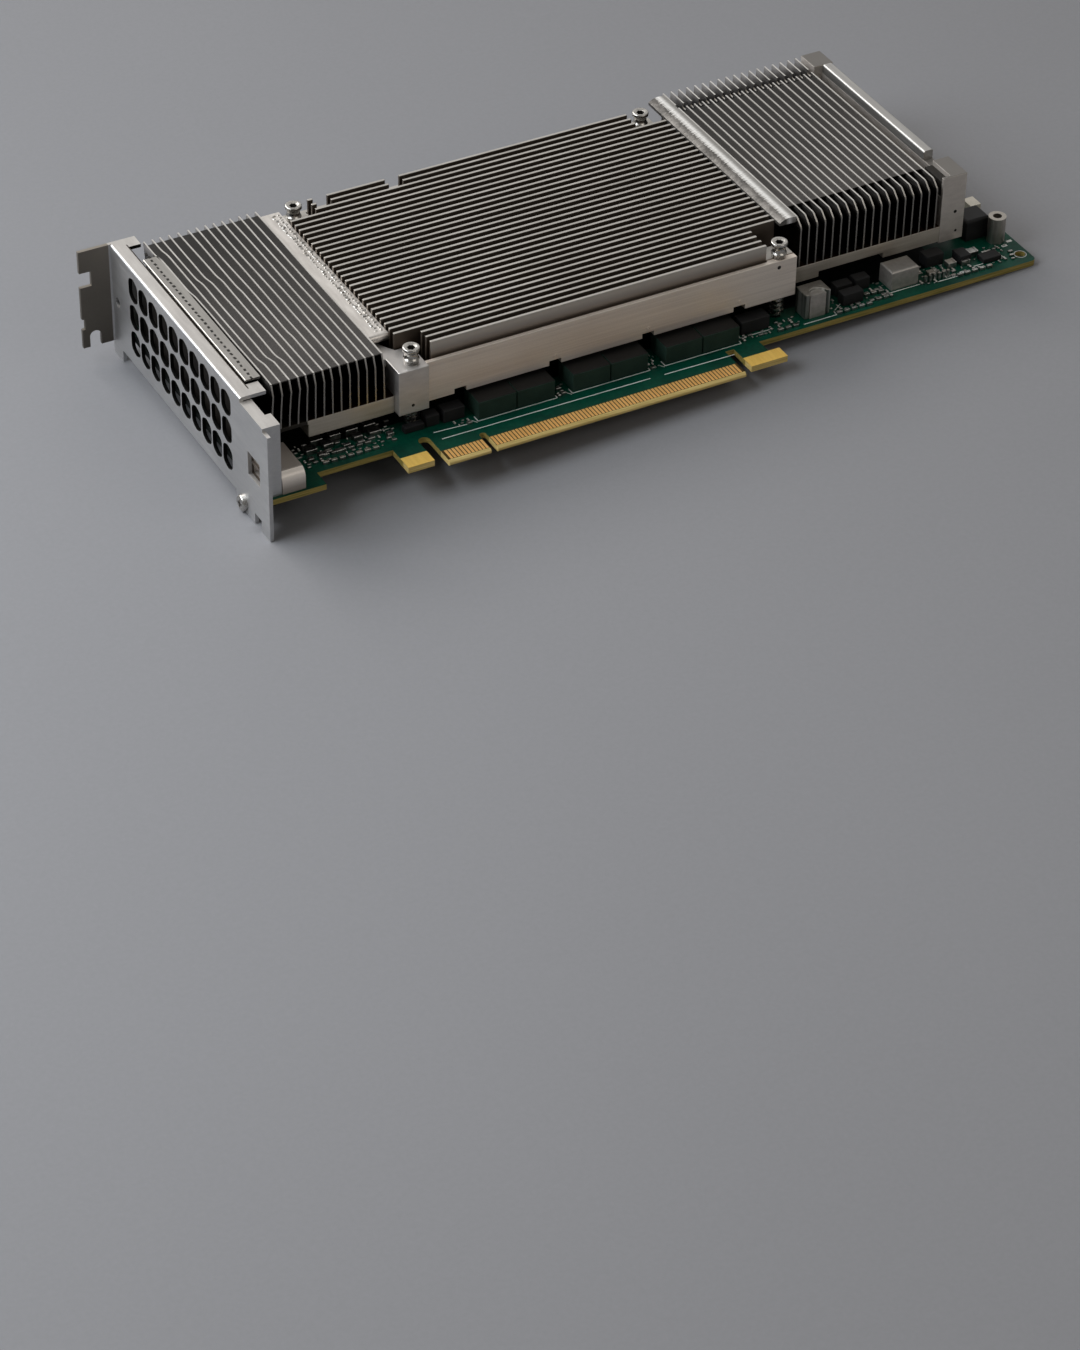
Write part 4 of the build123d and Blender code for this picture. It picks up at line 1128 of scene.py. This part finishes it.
# Parts that stand out: place, length, width, height and kind; 0 is a tan, 2 a brown and 3 a black body
PLACED_PARTS = (
    (18.6, 19.4, 3.0, 2.4, 1.4, 3),
    (23.4, 19.6, 2.6, 2.2, 1.5, 3),
    (31.6, 19.4, 2.4, 2.0, 1.3, 3),
    (36.4, 19.6, 3.2, 2.2, 1.2, 3),
    (27.9, 17.6, 1.9, 0.9, 0.8, 2),
    (31.7, 17.2, 1.9, 0.9, 0.8, 2),
    (34.6, 17.4, 1.9, 0.9, 0.8, 2),
    (39.6, 16.9, 1.8, 1.3, 1.0, 0),
    (22.8, 17.3, 1.6, 1.0, 0.7, 0),
    (17.2, 16.0, 1.6, 1.1, 0.9, 3),
    (21.4, 22.2, 3.4, 1.9, 1.6, 3),
    (26.6, 22.4, 3.0, 2.0, 1.5, 3),
    (31.2, 22.2, 3.4, 1.8, 1.7, 3),
    (36.2, 22.4, 3.2, 1.9, 1.5, 3),
    (20.6, 16.6, 2.2, 1.4, 1.0, 3),
    (25.2, 16.2, 2.0, 1.2, 0.9, 3),
    (199.6, 17.0, 2.4, 1.8, 1.4, 3),
    (210.6, 18.0, 2.6, 2.0, 1.5, 3),
    (218.0, 18.4, 2.6, 1.8, 1.2, 3),
    (59.6, 12.4, 1.4, 0.8, 0.6, 0),
    (86.5, 15.4, 1.4, 0.9, 0.7, 3),
    (112.7, 12.6, 1.4, 0.8, 0.6, 0),
    (179.2, 16.6, 1.5, 1.0, 0.9, 0),
    (181.3, 16.4, 1.5, 1.0, 0.9, 0),
    (183.4, 16.2, 1.5, 1.0, 0.9, 0),
    (206.6, 18.6, 2.6, 2.2, 1.6, 3),
    (214.6, 20.6, 3.0, 2.2, 1.6, 3),
)


def make_small_parts():
    """Chip capacitors with tinned ends in the places of the frame's, and the finer parts between them."""
    bm = bmesh.new()
    for low, high in solids_of("chip_capacitors"):
        x = (low[0] + high[0]) / 2
        y = (low[1] + high[1]) / 2
        chip_part(bm, x, y, high[0] - low[0], high[1] - low[1], high[2], chance.choice((0, 0, 2)))
    make_piece("small_capacitors", bm, [CERAMIC, SOLDER, RESISTOR], "capacitor_tan", "chip_capacitors")
    bm = bmesh.new()
    taken = []
    for node in STANDING_NODES:
        taken += solids_of(node)
    for x, y, length, width, height, kind in PLACED_PARTS:
        chip_part(bm, x, y, length, width, height, kind)
        taken.append(([x - length / 2, y - width / 2, 0], [x + length / 2, y + width / 2, 1]))
    for x0, x1, y0, y1, count in PART_FIELDS:
        for _ in range(count):
            x = chance.uniform(x0, x1)
            y = chance.uniform(y0, y1)
            length = chance.choice((0.6, 0.8, 1.0, 1.3))
            clear = True
            for low, high in taken:
                if low[0] - 0.7 < x < high[0] + 0.7 and low[1] - 0.5 < y < high[1] + 0.5:
                    clear = False
            if not clear:
                continue
            taken.append(([x - length / 2, y - length / 4, 0], [x + length / 2, y + length / 4, 1]))
            kind = chance.choice((0, 2, 3, 3, 3))
            chip_part(bm, x, y, length, length * 0.52, length * 0.42, kind, chance.choice((0, 0, 90)))
    make_piece("fine_parts", bm, [CERAMIC, SOLDER, RESISTOR, CHIP], "capacitor_tan")


def make_pits():
    """Small round holes, drawn as discs in painted shade, and pips in the heat sink's front faces."""
    bm = bmesh.new()
    front = (0, -1, 0)
    for index in range(PIP_COUNT):
        disc(bm, (PIP_FIRST + PIP_PITCH * index, *PIP_FACE), front, 0.55, 0.12, 0.3)
    make_piece("wall_pips", bm, [SKIVED], "heat_sink")
    bm = bmesh.new()
    for middle, radius in SMALL_HOLES:
        disc(bm, middle, front, radius, 0.015)
    make_piece("small_holes", bm, [HOLE_SHADE], "heat_sink")


def make_hole_rings():
    """Tinned rings round the mounting holes at the far end of the board."""
    bm = bmesh.new()
    for x, y in HOLE_RINGS:
        disc(bm, (x, y, 0.0), (0, 0, 1), 1.75, 0.02, 1.5, 28)
    make_piece("hole_rings", bm, [SOLDER], "screw_steel")


def floor_finish():
    material, tree, shader = new_material("studio_floor", gloss=0.2)
    grain = mottled(tree, 3.0, 900.0)
    tree.links.new(tone(tree, grain, (0.206, 0.207, 0.218), (0.225, 0.226, 0.238)), shader["Base Color"])
    shader["Roughness"].default_value = 0.65
    return material


def set_floor():
    slope = (FLOOR_AT_END - FLOOR_AT_BRACKET) / BOARD_REACH
    bm = bmesh.new()
    corners = []
    for side_x, side_y in ((-1, -1), (1, -1), (1, 1), (-1, 1)):
        x = side_x * FLOOR_REACH
        corners.append(bm.verts.new(spot(x, side_y * FLOOR_REACH, FLOOR_AT_BRACKET + slope * x)))
    bm.faces.new(corners)
    mesh = bpy.data.meshes.new("floor")
    bm.to_mesh(mesh)
    bm.free()
    mesh.materials.append(floor_finish())
    floor = bpy.data.objects.new("floor", mesh)
    scene.collection.objects.link(floor)


def soft_box(name, place, aim, size, power, tint):
    data = bpy.data.lights.new(name, "AREA")
    data.shape = "RECTANGLE"
    data.size = size[0]
    data.size_y = size[1]
    data.energy = power
    data.color = tint
    lamp = bpy.data.objects.new(name, data)
    lamp.location = place
    lamp.rotation_mode = "QUATERNION"
    lamp.rotation_quaternion = (Vector(aim) - Vector(place)).to_track_quat("-Z", "Y")
    scene.collection.objects.link(lamp)


def set_light():
    """A room brightest behind the card, a wide soft box there, one at the left and a weak one in front."""
    world = bpy.data.worlds.new("studio")
    world.use_nodes = True
    tree = world.node_tree
    way = add(tree, "ShaderNodeTexCoord").outputs["Generated"]
    toward = add(tree, "ShaderNodeVectorMath", (0, way), (1, ROOM_LIGHT), operation="DOT_PRODUCT")
    room = tone(tree, toward.outputs["Value"], (0.175, 0.170, 0.162), (0.72, 0.71, 0.695), 0.5, 1.0)
    tree.links.new(room, tree.nodes["Background"].inputs["Color"])
    scene.world = world
    soft_box("back_box", (-0.67, 1.65, 1.22), (0.05, 0.05, 0.0), (1.3, 0.9), 28.0, (1.0, 0.985, 0.965))
    soft_box("front_box", (0.55, -1.15, 1.05), (0.05, 0.02, 0.0), (1.0, 0.8), 3.0, (1.0, 0.95, 0.88))
    soft_box("left_box", (-0.50, 0.16, 0.45), (-0.04, 0.02, 0.0), (0.45, 0.45), 4.1, (0.90, 0.95, 1.0))


set_camera()
set_floor()
set_light()
make_left_fins()
make_right_fins()
make_screws()
make_block_slot()
for node_name, slot_name, radius in (
    ("corner_block", "heat_sink", 0.3),
    ("end_frame", "heat_sink", 0.3),
    ("center_sink", "heat_sink", 0.12),
    ("left_base", "heat_sink", 0.2),
    ("right_base", "heat_sink", 0.2),
    ("cover_strip", "heat_sink", 0.12),
    ("bracket", "bracket_steel", 0.16),
    ("notched_inductor", "inductor_metal", 0.25),
    ("power_modules", "black_plastic", 0.2),
    ("driver_chips", "chip_black", 0.2),
    ("end_choke", "chip_black", 0.25),
):
    worn_copy(node_name, slot_name, radius)
make_flanges()
make_lip_skirt()
make_lip_slots()
make_cover_band()
make_legend()
make_small_parts()
make_pits()
make_hole_rings()

scene.view_settings.view_transform = "Standard"
